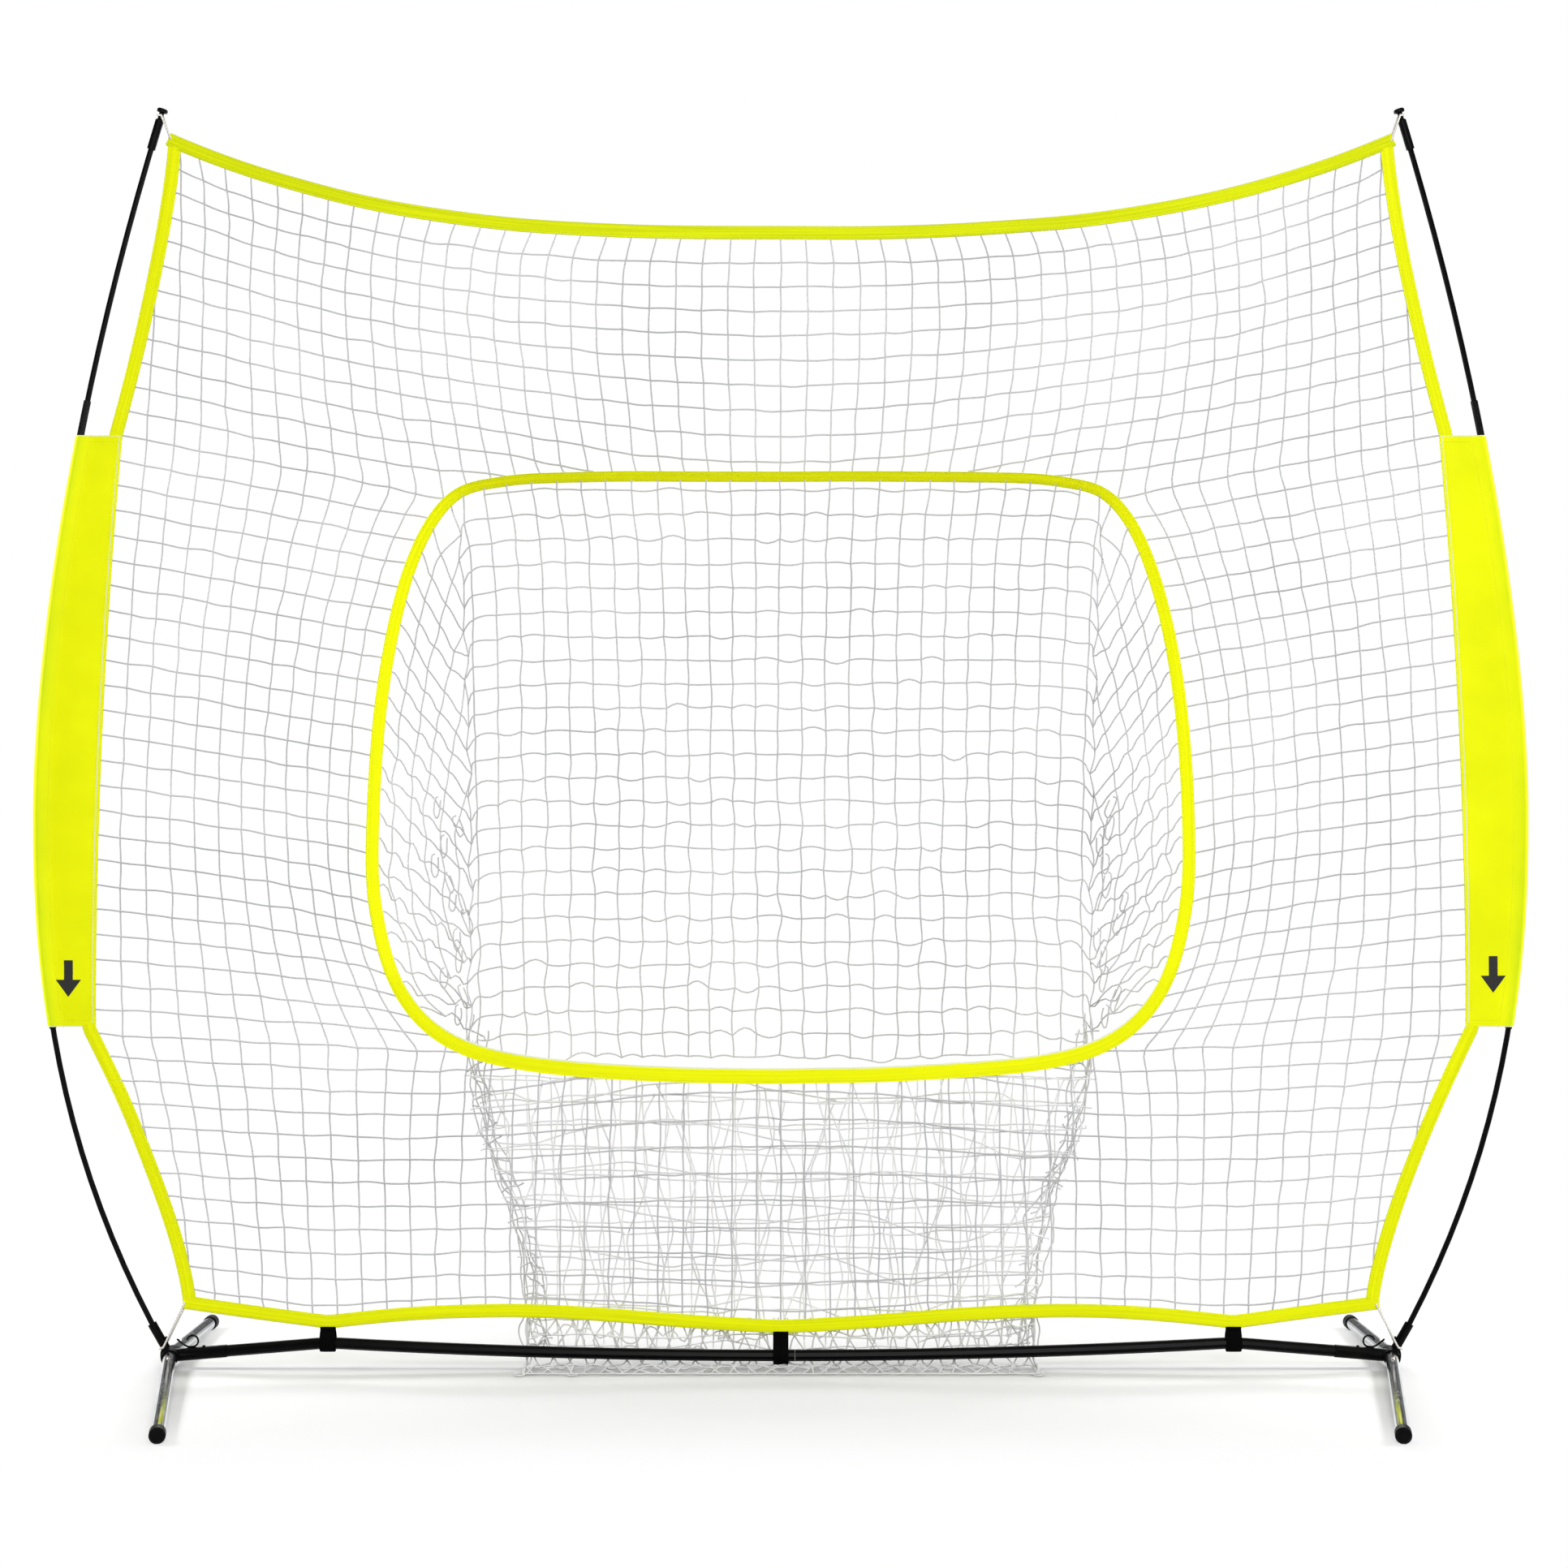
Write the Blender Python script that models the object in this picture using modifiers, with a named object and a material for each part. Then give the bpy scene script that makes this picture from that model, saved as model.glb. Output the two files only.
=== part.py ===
"""Bow-frame pitching net: two bent poles on a footed base bar, a taped net with a ball pocket.

Metres, +Z up. X runs along the base bar, the net hangs in the XZ plane, the pocket bags out
towards +Y and the pitcher stands on the -Y side. The model is built round the foot of the net's
middle line, and its parent empty then centres the footprint on the origin.
"""

import math

import bmesh
import bpy
import numpy as np
from mathutils import Euler, Vector

# ---- overall frame -----------------------------------------------------------------------
HUB_HALF_SPAN = 1.032        # middle of the frame to the hub's centre
HUB_HEIGHT = 0.022           # floor to the hub's centre
BELLY_HALF_SPAN = 1.256      # middle of the frame to the widest point of the bowed pole
BELLY_HEIGHT = 0.940         # floor to that widest point
TIP_HALF_SPAN = 1.050        # middle of the frame to the pole's top end
TIP_HEIGHT = 2.108           # floor to the pole's top end
LOWER_BOW_POWER = 2.33       # how late the pole bends in below the belly
UPPER_BOW_POWER = 1.72       # and above it

# ---- poles -------------------------------------------------------------------------------
POLE_RADIUS = 0.00475
FERRULE_WALL = 0.0012
FERRULE_LENGTH = 0.070
UPPER_FERRULE_HEIGHT = 1.600
LOWER_FERRULE_HEIGHT = 0.610
CAP_SLEEVE_RADIUS = 0.0070
CAP_SLEEVE_LENGTH = 0.050
CAP_NECK_RADIUS = 0.0042
CAP_NECK_LENGTH = 0.012
CAP_HEAD_RADIUS = 0.0090
CAP_HEAD_LENGTH = 0.006

# ---- hubs --------------------------------------------------------------------------------
BARREL_RADIUS = 0.0142
BARREL_REACH = 0.020         # hub centre to the mouth of each leg barrel
BARREL_SEAT = 0.007          # hub centre to the bottom of that barrel's bore
POLE_SOCKET_RADIUS = 0.0076
POLE_SOCKET_REACH = 0.062    # hub centre to the mouth of the pole socket
POLE_SEAT = 0.014            # hub centre to the bottom of that socket's bore
STUB_RADIUS = 0.0108
STUB_REACH = 0.096           # hub centre to the mouth of the bar stub
STUB_BACK = 0.014            # how far the stub stands out past the hub
CORD_LUG_RADIUS = 0.0036
CORD_LUG_LENGTH = 0.003      # how far the lug stands out of the pole socket
CORD_LUG_FROM_HUB = 0.028
HOOK_WIRE_RADIUS = 0.0017
HOOK_BEND_RADIUS = 0.0095
HOOK_FROM_HUB = 0.040        # hub centre to the middle of the hook's curl
HOOK_PRONG = 0.022           # length of the hook's straight prong

# ---- base bar ----------------------------------------------------------------------------
BAR_RADIUS = 0.00975
BAR_RISE = 0.0215            # how far the net's pull lifts the bar at its outer straps
BAR_SPIGOT_RADIUS = 0.0080
BAR_SPIGOT_LENGTH = 0.050
SPIGOT_PLAY = 0.002          # free length behind a spigot
BAR_JOINT_X = 0.024          # where the two halves meet, beside the middle strap
BAR_BUTTON_FROM_HUB = 0.058

# ---- legs --------------------------------------------------------------------------------
LEG_RADIUS = 0.0110
LEG_WALL = 0.0012
FRONT_LEG_REACH = 0.5286     # hub centre to the end of the cap
REAR_LEG_REACH = 0.334
FRONT_TOE_IN = math.radians(10.9)
REAR_TOE_IN = math.radians(0.0)
LEG_SOCKET_WALL = 0.0012
LEG_SOCKET_REACH = 0.094     # hub centre to the mouth of the chrome socket
LEG_SPIGOT_LENGTH = 0.060
FOOT_WALL = 0.0015
FOOT_LENGTH = 0.024
FOOT_END = 0.003
FOOT_FLAT = 0.0005           # depth of the flat that a foot cap stands on

# ---- snap buttons ------------------------------------------------------------------------
BUTTON_RADIUS = 0.0030
BUTTON_PROUD = 0.0030        # how far a button stands out of its socket
BUTTON_FROM_HUB = 0.076

# ---- net, tapes and sleeves --------------------------------------------------------------
TAPE_WIDTH = 0.0225
TAPE_THICKNESS = 0.0020
TOP_TAPE_MIDDLE = 1.9194     # height of the top tape's middle line at its lowest
TOP_TAPE_CORNER = 2.0720     # and at its corners
TOP_CORNER_X = 1.0240        # half span of the side tape's middle line at the top corner
TOP_SAG_POWER = 2.85
UPPER_TAPE_POWER = 1.34
LOWER_TAPE_POWER = 1.35
BOTTOM_CORNER_X = 0.9990
BOTTOM_CORNER_HEIGHT = 0.1100
MIDDLE_STRAP_TAPE_HEIGHT = 0.0705
OUTER_STRAP_TAPE_HEIGHT = 0.0785
TAPE_ARCH = 0.0220           # rise of the bottom tape between two straps
TAPE_ARCH_LEAN = 1.36        # above 1, the arch's top leans towards the outer strap
SLEEVE_TOP = 1.5764
SLEEVE_BOTTOM = 0.5776
SLEEVE_WALL = 0.0008
SLEEVE_INNER_TOP_X = 1.1130
SLEEVE_INNER_BOTTOM_X = 1.1580
SLEEVE_INNER_POWER = 2.0
SLEEVE_POLE_GAP = 0.0010     # slack of the sleeve round the pole
TWINE = 0.0028
SIDE_MESHES = 4              # net openings on each side of the pocket
POCKET_MESHES_ACROSS = 12    # above and below the pocket
POCKET_MESHES_UP = 10        # as high as the sleeves and the pocket
EDGE_MESHES = 5              # above that and below it
CORNER_MESHES = 3            # along the bottom, from an outer strap to the corner
RIM_SPLITS = 2               # steps of the pocket's rim to each of those openings

# ---- pocket ------------------------------------------------------------------------------
RIM_HALF_WIDTH = 0.6894
RIM_TOP = 1.5065
RIM_BOTTOM = 0.4939
# half the rim's outline, from its top middle to its bottom middle, as shares of the half
# width and of the height: a flat top, tight upper corners, leaning sides, round lower corners
RIM_OUTLINE = (
    (0.000, 1.000), (0.435, 1.000), (0.682, 0.992), (0.818, 0.957), (0.915, 0.835),
    (0.978, 0.631), (1.000, 0.408), (0.989, 0.266), (0.933, 0.144), (0.816, 0.062),
    (0.624, 0.022), (0.290, 0.004), (0.000, 0.000),
)
RIM_UPPER_CORNER = 3         # places of the corners in that outline
RIM_LOWER_CORNER = 9
# the back net, which hangs from the rim's top: half width, depth behind the net and height
POCKET_BACK = (
    (0.545, 0.030, 1.400), (0.542, 0.068, 1.270), (0.541, 0.100, 1.120), (0.540, 0.127, 0.950),
    (0.541, 0.146, 0.780), (0.544, 0.155, 0.620), (0.541, 0.153, 0.500),
)
# the bag below the rim, from that net down to the hem
POCKET_BAG = (
    (0.541, 0.153, 0.500), (0.515, 0.138, 0.380), (0.470, 0.115, 0.275), (0.442, 0.088, 0.160),
    (0.432, 0.056, 0.060), (0.430, 0.042, 0.030),
)
HEM_HALF_WIDTH = 0.422
HEM_HEIGHT = 0.0045
POCKET_CLOTH = 0.0030
FRONT_TUCK_HEIGHT = 0.075    # where the front panel has passed behind the straps
GUSSET_START = 1             # steps of the rim from its upper corner to the top of a side

# ---- straps and corner loops -------------------------------------------------------------
STRAP_HALF_SPAN = 0.765
STRAP_WIDTH = 0.026
STRAP_THICKNESS = 0.0020
STRAP_SLACK = 0.0018
LOOP_RADIUS = 0.0016

# ---- fits and facets ---------------------------------------------------------------------
FIT = 0.0003                 # clearance of everything that touches
SEAM = 0.0006                # clearance of sewn panels that meet at an angle
EDGE_LEAN = 0.0005           # how far the cut edge of a leaning panel stands forward
ROUND_STEPS = 20
SMALL_STEPS = 12


# ---- the bowed pole and the edges of the net ----------------------------------------------
def pole_x(z):
    """Half span of the bowed pole's centre line at height z."""
    if z < BELLY_HEIGHT:
        share = (BELLY_HEIGHT - z) / (BELLY_HEIGHT - HUB_HEIGHT)
        return BELLY_HALF_SPAN - (BELLY_HALF_SPAN - HUB_HALF_SPAN) * share ** LOWER_BOW_POWER
    share = (z - BELLY_HEIGHT) / (TIP_HEIGHT - BELLY_HEIGHT)
    return BELLY_HALF_SPAN - (BELLY_HALF_SPAN - TIP_HALF_SPAN) * share ** UPPER_BOW_POWER


def pole_direction(z):
    """Upward unit vector along the right pole at height z."""
    step = 0.001
    return Vector((pole_x(z + step) - pole_x(z - step), 0, 2 * step)).normalized()


def top_tape_z(x):
    """Height of the top tape's middle line."""
    share = abs(x) / TOP_CORNER_X
    return TOP_TAPE_MIDDLE + (TOP_TAPE_CORNER - TOP_TAPE_MIDDLE) * share ** TOP_SAG_POWER


def bottom_tape_z(x):
    """Height of the bottom tape's middle line: arches between the straps, then the corner."""
    x = abs(x)
    if x < STRAP_HALF_SPAN:
        share = x / STRAP_HALF_SPAN
        straight = MIDDLE_STRAP_TAPE_HEIGHT
        straight += (OUTER_STRAP_TAPE_HEIGHT - MIDDLE_STRAP_TAPE_HEIGHT) * share
        return straight + TAPE_ARCH * math.sin(math.pi * share ** TAPE_ARCH_LEAN)
    share = (x - STRAP_HALF_SPAN) / (BOTTOM_CORNER_X - STRAP_HALF_SPAN)
    return OUTER_STRAP_TAPE_HEIGHT + (BOTTOM_CORNER_HEIGHT - OUTER_STRAP_TAPE_HEIGHT) * share


def sleeve_inner_x(z):
    """Half span of the sleeve's inner edge, where the net is sewn on."""
    share = (z - SLEEVE_BOTTOM) / (SLEEVE_TOP - SLEEVE_BOTTOM)
    return SLEEVE_INNER_BOTTOM_X - (SLEEVE_INNER_BOTTOM_X - SLEEVE_INNER_TOP_X) * (
        share ** SLEEVE_INNER_POWER
    )


def side_tape_inner_x(z):
    """Half span of the inner edge of the net's side, from corner to corner."""
    if z > SLEEVE_TOP:
        share = (z - SLEEVE_TOP) / (TOP_TAPE_CORNER - SLEEVE_TOP)
        far = TOP_CORNER_X - TAPE_WIDTH / 2
        return far + (SLEEVE_INNER_TOP_X - far) * (1 - share) ** UPPER_TAPE_POWER
    if z < SLEEVE_BOTTOM:
        share = (z - BOTTOM_CORNER_HEIGHT) / (SLEEVE_BOTTOM - BOTTOM_CORNER_HEIGHT)
        far = BOTTOM_CORNER_X - TAPE_WIDTH / 2
        return far + (SLEEVE_INNER_BOTTOM_X - far) * max(share, 0) ** LOWER_TAPE_POWER
    return sleeve_inner_x(z)


def bar_z(x):
    """Height of the base bar's centre line: straight to the strap, then easing to the middle."""
    x = abs(x)
    if x > STRAP_HALF_SPAN:
        share = (HUB_HALF_SPAN - x) / (HUB_HALF_SPAN - STRAP_HALF_SPAN)
        return HUB_HEIGHT + BAR_RISE * share
    return HUB_HEIGHT + BAR_RISE * (x / STRAP_HALF_SPAN) ** 2


def smooth(points, steps):
    """Points along the curve that runs smoothly through the given ones."""
    points = np.asarray(points, float)
    ends = np.vstack([2 * points[0] - points[1], points, 2 * points[-1] - points[-2]])
    out = []
    for a, b, c, d in zip(ends, ends[1:], ends[2:], ends[3:]):
        for t in np.arange(steps) / steps:
            out.append(0.5 * (
                2 * b + (c - a) * t + (2 * a - 5 * b + 4 * c - d) * t ** 2
                + (3 * b - a - 3 * c + d) * t ** 3
            ))
    return np.array(out + [points[-1]])


def spaced(points, count):
    """The same line as count equal steps along its length."""
    points = np.asarray(points, float)
    along = np.concatenate([[0], np.cumsum(np.linalg.norm(np.diff(points, axis=0), axis=1))])
    marks = np.linspace(0, along[-1], count + 1)
    return np.stack([np.interp(marks, along, points[:, k]) for k in range(points.shape[1])], 1)


def beside(points, distance):
    """The line that runs at a distance to the left of a flat one."""
    points = np.asarray(points, float)
    run = np.gradient(points, axis=0)
    run /= np.linalg.norm(run, axis=1)[:, None]
    return points + distance * np.stack([-run[:, 1], run[:, 0]], 1)


def rim_half(distance):
    """Right half of the rim from top middle to bottom middle, moved outwards by a distance.

    It has RIM_SPLITS steps to each of the net's openings, so the net can follow it.
    """
    shares = smooth(RIM_OUTLINE, 8)
    line = shares * (RIM_HALF_WIDTH, RIM_TOP - RIM_BOTTOM) + (0, RIM_BOTTOM)
    upper, lower = RIM_UPPER_CORNER * 8, RIM_LOWER_CORNER * 8
    half_across = POCKET_MESHES_ACROSS * RIM_SPLITS // 2
    line = np.vstack([
        spaced(line[:upper + 1], half_across)[:-1],
        spaced(line[upper:lower + 1], POCKET_MESHES_UP * RIM_SPLITS)[:-1],
        spaced(line[lower:], half_across),
    ])
    mirrored = line[::-1] * (-1, 1)
    whole = np.vstack([mirrored[-2:-1], line, mirrored[1:2]])
    return beside(whole, distance)[1:-1]


def rim_parts(distance):
    """The rim moved outwards, as its top, its right side and its bottom, each left to right or
    bottom to top."""
    half = rim_half(distance)
    upper = POCKET_MESHES_ACROSS * RIM_SPLITS // 2
    lower = upper + POCKET_MESHES_UP * RIM_SPLITS
    mirror = (-1, 1)
    top = np.vstack([half[1:upper + 1][::-1] * mirror, half[:upper + 1]])
    low = np.vstack([half[lower:-1] * mirror, half[lower:][::-1]])
    return top, half[upper:lower + 1][::-1], low


# ---- shared modelling steps ---------------------------------------------------------------
def new_collection(name):
    collection = bpy.data.collections.new(name)
    bpy.context.scene.collection.children.link(collection)
    return collection


def material(name, colour, roughness, metallic=0.0):
    look = bpy.data.materials.new(name)
    look.use_nodes = True
    shader = look.node_tree.nodes["Principled BSDF"]
    shader.inputs["Base Color"].default_value = (*colour, 1)
    shader.inputs["Roughness"].default_value = roughness
    shader.inputs["Metallic"].default_value = metallic
    return look


def add(name, data, look, parent, collection):
    thing = bpy.data.objects.new(name, data)
    collection.objects.link(thing)
    thing.parent = parent
    if look:
        data.materials.append(look)
    return thing


def frame_at(name, parent, location, rotation=None):
    """An empty that carries a group of pieces."""
    empty = bpy.data.objects.new(name, None)
    NET.objects.link(empty)
    empty.parent = parent
    empty.location = location
    if rotation:
        empty.rotation_euler = rotation
    return empty


def as_mesh(thing):
    """Replace a curve or a modified mesh by its welded, outward-facing result."""
    bpy.context.view_layer.update()
    shape = thing.evaluated_get(bpy.context.evaluated_depsgraph_get())
    data = bpy.data.meshes.new_from_object(shape)
    bm = bmesh.new()
    bm.from_mesh(data)
    bmesh.ops.remove_doubles(bm, verts=bm.verts, dist=0.00001)
    bmesh.ops.recalc_face_normals(bm, faces=bm.faces)
    bm.to_mesh(data)
    bm.free()
    name, parent = thing.name, thing.parent
    place = thing.location.copy(), thing.rotation_euler.copy()
    bpy.data.objects.remove(thing)
    solid = add(name, data, None, parent, NET)
    solid.location, solid.rotation_euler = place
    return solid


def round_off(thing, angle=40):
    thing.data.shade_smooth()
    thing.data.set_sharp_from_angle(angle=math.radians(angle))
    return thing


def follow(bm, line):
    """Split the border edges that run along a line of points, to follow its bends."""
    def nearest(place):
        away = np.hypot(line[:, 0] - place.x, line[:, 1] - place.z)
        return away.min(), line[away.argmin()]

    near = {v: nearest(v.co)[0] < 2 * FIT for v in bm.verts}
    edges = [e for e in bm.edges if e.is_boundary and near[e.verts[0]] and near[e.verts[1]]]
    split = bmesh.ops.subdivide_edges(bm, edges=edges, cuts=RIM_SPLITS - 1)
    for vertex in [v for v in split["geom_inner"] if isinstance(v, bmesh.types.BMVert)]:
        x, z = nearest(vertex.co)[1]
        vertex.co = (x, 0, z)


def sheet(name, rows, thickness, look, twine=0.0, edge=None):
    """A sheet through rows of points. Ends that meet are joined, and twine makes it a net."""
    rows = np.asarray(rows, float)
    bm = bmesh.new()
    bmesh.ops.create_grid(bm, x_segments=rows.shape[1] - 1, y_segments=rows.shape[0] - 1, size=1)
    bm.verts.ensure_lookup_table()
    for vertex, place in zip(bm.verts, rows.reshape(-1, 3)):
        vertex.co = place
    bmesh.ops.remove_doubles(bm, verts=bm.verts, dist=0.00001)
    if edge is not None:
        follow(bm, edge)
    if twine:
        meshes = bm.faces[:]
        bmesh.ops.inset_individual(bm, faces=meshes, thickness=twine / 2, use_even_offset=True)
        bmesh.ops.delete(bm, geom=meshes, context="FACES")
    bmesh.ops.recalc_face_normals(bm, faces=bm.faces)
    data = bpy.data.meshes.new(name)
    bm.to_mesh(data)
    bm.free()
    thing = add(name, data, look, ROOT, NET)
    solidify = thing.modifiers.new("cloth", "SOLIDIFY")
    solidify.thickness = thickness
    solidify.offset = 0
    solidify.use_even_offset = True
    return thing


def rod(name, points, radius, look, parent=None, capped=True, sides=2):
    """A round rod, wire or tube wall along a line of points."""
    curve = bpy.data.curves.new(name, "CURVE")
    curve.dimensions = "3D"
    curve.bevel_depth = radius
    curve.bevel_resolution = sides
    curve.use_fill_caps = capped
    line = curve.splines.new("POLY")
    line.points.add(len(points) - 1)
    for target, place in zip(line.points, points):
        target.co = (*place, 1)
    thing = add(name, curve, look, parent or ROOT, NET)
    return round_off(as_mesh(thing), 60)


def turned(name, profile, look, parent, location=(0, 0, 0), rotation=(0, 0, 0), steps=ROUND_STEPS):
    """A turned piece from (radius, height) points, along its own +Z."""
    data = bpy.data.meshes.new(name)
    closed = profile[0] == profile[-1]
    corners = profile[:-1] if closed else profile
    edges = [(i, i + 1) for i in range(len(corners) - 1)]
    if closed:
        edges.append((len(corners) - 1, 0))
    data.from_pydata([(radius, 0, height) for radius, height in corners], edges, [])
    thing = add(name, data, look, parent, NET)
    thing.location = location
    thing.rotation_euler = rotation
    screw = thing.modifiers.new("turn", "SCREW")
    screw.steps = steps
    screw.render_steps = steps
    screw.use_merge_vertices = True
    screw.merge_threshold = 0.00001
    return round_off(as_mesh(thing))


def tube_profile(outer, inner, start, end):
    """Closed section of a plain tube."""
    return [(outer, end), (outer, start), (inner, start), (inner, end), (outer, end)]


def cylinder(name, radius, start, end, look, parent, location=(0, 0, 0), rotation=(0, 0, 0),
             steps=ROUND_STEPS):
    """A plain round bar, or a round tool, along its own +Z."""
    bm = bmesh.new()
    bmesh.ops.create_cone(bm, cap_ends=True, segments=steps, radius1=radius, radius2=radius,
                          depth=end - start)
    bmesh.ops.translate(bm, verts=bm.verts, vec=(0, 0, (start + end) / 2))
    data = bpy.data.meshes.new(name)
    bm.to_mesh(data)
    bm.free()
    thing = add(name, data, look, parent, NET)
    thing.location = location
    thing.rotation_euler = rotation
    return round_off(thing)


def combine(base, operation, other):
    """Join another solid to the base, or cut it out, and put it among the cutters."""
    step = base.modifiers.new(operation.lower(), "BOOLEAN")
    step.operation = operation
    step.object = other
    for collection in other.users_collection:
        collection.objects.unlink(other)
    CUTTERS.objects.link(other)
    other.hide_render = True
    other.display_type = "WIRE"


def aim(direction):
    """Rotation that points a piece's +Z along a direction and its +Y as far up as it goes."""
    return Vector(direction).to_track_quat("Z", "Y").to_euler()


# ---- poles --------------------------------------------------------------------------------
def pole_line(side, start, end, count):
    return [(side * pole_x(z), 0, z) for z in np.linspace(start, end, count)]


def make_pole(side, word):
    """Lower, middle and upper pole, the two ferrules that join them, and the tip cap."""
    along = pole_direction(HUB_HEIGHT)
    foot = HUB_HEIGHT + along.z * (POLE_SEAT + FIT)
    mouth = HUB_HEIGHT + along.z * POLE_SOCKET_REACH
    straight = [(side * (HUB_HALF_SPAN + along.x / along.z * (z - HUB_HEIGHT)), 0, z)
                for z in (foot, mouth)]
    shift = straight[1][0] - side * pole_x(mouth)
    lower_top = LOWER_FERRULE_HEIGHT - FIT / 2
    bend = [(x + shift * (lower_top - z) / (lower_top - mouth), y, z)
            for x, y, z in pole_line(side, mouth, lower_top, 12)[1:]]
    rod(f"lower_pole_{word}", straight + bend, POLE_RADIUS, POLE)
    middle = pole_line(side, LOWER_FERRULE_HEIGHT + FIT / 2, UPPER_FERRULE_HEIGHT - FIT / 2, 17)
    rod(f"middle_pole_{word}", middle, POLE_RADIUS, POLE)
    upper = pole_line(side, UPPER_FERRULE_HEIGHT + FIT / 2, TIP_HEIGHT, 9)
    rod(f"upper_pole_{word}", upper, POLE_RADIUS, POLE)
    for place, height in (("lower", LOWER_FERRULE_HEIGHT), ("upper", UPPER_FERRULE_HEIGHT)):
        reach = FERRULE_LENGTH / 2
        line = pole_line(side, height - reach, height + reach, 4)
        ferrule = rod(f"{place}_ferrule_{word}", line, POLE_RADIUS + FIT, STEEL, capped=False)
        wall = ferrule.modifiers.new("wall", "SOLIDIFY")
        wall.thickness = FERRULE_WALL
        wall.offset = 1
    tip = pole_direction(TIP_HEIGHT - CAP_SLEEVE_LENGTH / 2)
    tip.x *= side
    turned(f"tip_cap_{word}", tip_cap_profile(), VINYL, ROOT,
           (side * TIP_HALF_SPAN, 0, TIP_HEIGHT), aim(tip))


def tip_cap_profile():
    """A cup over the pole's end, a neck for the net's loop, and a head that keeps it on."""
    neck = FIT + 0.003
    head = neck + CAP_NECK_LENGTH
    top = head + CAP_HEAD_LENGTH
    bore = POLE_RADIUS + FIT
    return [
        (0, top), (CAP_HEAD_RADIUS * 0.8, top), (CAP_HEAD_RADIUS, top - 0.0015),
        (CAP_HEAD_RADIUS, head), (CAP_NECK_RADIUS, head - 0.0015), (CAP_NECK_RADIUS, neck),
        (CAP_SLEEVE_RADIUS, neck - 0.002), (CAP_SLEEVE_RADIUS, -CAP_SLEEVE_LENGTH),
        (bore, -CAP_SLEEVE_LENGTH), (bore, FIT), (0, FIT),
    ]


# ---- hubs and their hooks ------------------------------------------------------------
def leg_direction(side, toe_in, forward, reach):
    """Unit vector from the hub along a leg, dipping until its cap stands on the floor."""
    drop = HUB_HEIGHT - (LEG_RADIUS + FIT + FOOT_WALL - FOOT_FLAT)
    dip = math.asin(drop / reach)
    flat = math.cos(dip)
    return Vector((-side * math.sin(toe_in) * flat, forward * math.cos(toe_in) * flat,
                   -math.sin(dip)))


def stub_direction(side):
    """Unit vector from the hub along its bar stub, which rises with the bar."""
    return Vector((-side * (HUB_HALF_SPAN - STRAP_HALF_SPAN), 0, BAR_RISE)).normalized()


def make_hub(side, word, hub, legs):
    """Welded hub: bar stub, two leg barrels, pole socket, cord lug and wire hook, then bored."""
    stub_way = aim(stub_direction(side))
    pole_way = pole_direction(HUB_HEIGHT)
    pole_way.x *= side
    body = cylinder(f"hub_{word}", STUB_RADIUS, -STUB_BACK, STUB_REACH, PAINT, hub,
                    rotation=stub_way)
    for place, way in legs.items():
        combine(body, "UNION", cylinder(f"{place}_barrel_{word}", BARREL_RADIUS,
                                        -BARREL_REACH / 2, BARREL_REACH, None, hub,
                                        rotation=aim(way)))
    combine(body, "UNION", cylinder(f"pole_socket_{word}", POLE_SOCKET_RADIUS, 0,
                                    POLE_SOCKET_REACH, None, hub, rotation=aim(pole_way)))
    lug_way = pole_way.cross(Vector((0, side, 0)))
    combine(body, "UNION", cylinder(f"cord_lug_{word}", CORD_LUG_RADIUS, 0,
                                    POLE_SOCKET_RADIUS + CORD_LUG_LENGTH, None, hub,
                                    pole_way * CORD_LUG_FROM_HUB, aim(lug_way), SMALL_STEPS))
    combine(body, "UNION", make_hook(side, word, hub))
    for place, way in legs.items():
        combine(body, "DIFFERENCE", cylinder(f"{place}_bore_{word}", LEG_RADIUS + FIT,
                                             BARREL_SEAT, BARREL_REACH * 1.5, None, hub,
                                             rotation=aim(way)))
    combine(body, "DIFFERENCE", cylinder(f"pole_bore_{word}", POLE_RADIUS + FIT, POLE_SEAT,
                                         POLE_SOCKET_REACH * 1.2, None, hub,
                                         rotation=aim(pole_way)))
    combine(body, "DIFFERENCE", cylinder(f"bar_bore_{word}", BAR_SPIGOT_RADIUS + FIT,
                                         STUB_REACH - BAR_SPIGOT_LENGTH - SPIGOT_PLAY,
                                         STUB_REACH * 1.1, None, hub, rotation=stub_way))
    carrier = frame_at(f"stub_hole_{word}_axis", hub, (0, 0, 0), stub_way)
    combine(body, "DIFFERENCE", button_hole(f"stub_hole_{word}", carrier, BAR_BUTTON_FROM_HUB,
                                            STUB_RADIUS))


def button_hole(name, carrier, along, radius):
    """A radial hole for a snap button, up through the wall of a tube that lies along +Z."""
    return cylinder(name, BUTTON_RADIUS + FIT, radius * 0.3, radius * 1.5, None, carrier,
                    (0, 0, along), TOWARDS_Y, SMALL_STEPS)


def make_hook(side, word, hub):
    """Wire hook for the top of the bar stub: a short prong, a foot sunk in its weld, a curl."""
    way = stub_direction(side)
    up = Vector((0, 1, 0)).cross(way) * side
    foot = STUB_RADIUS + HOOK_WIRE_RADIUS * 0.6
    curl = [
        way * (HOOK_FROM_HUB + HOOK_BEND_RADIUS * math.sin(turn))
        + up * (foot + HOOK_BEND_RADIUS * (1 - math.cos(turn)))
        for turn in np.linspace(0, math.radians(255), 12)
    ]
    prong_foot = way * (HOOK_FROM_HUB - 0.010) + up * foot
    prong = prong_foot + (up - way * 1.1).normalized() * HOOK_PRONG
    line = [prong, prong.lerp(prong_foot, 0.8), prong_foot.lerp(curl[0], 0.3)] + curl
    return rod(f"net_hook_{word}", line, HOOK_WIRE_RADIUS, None, hub, sides=1)


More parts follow.
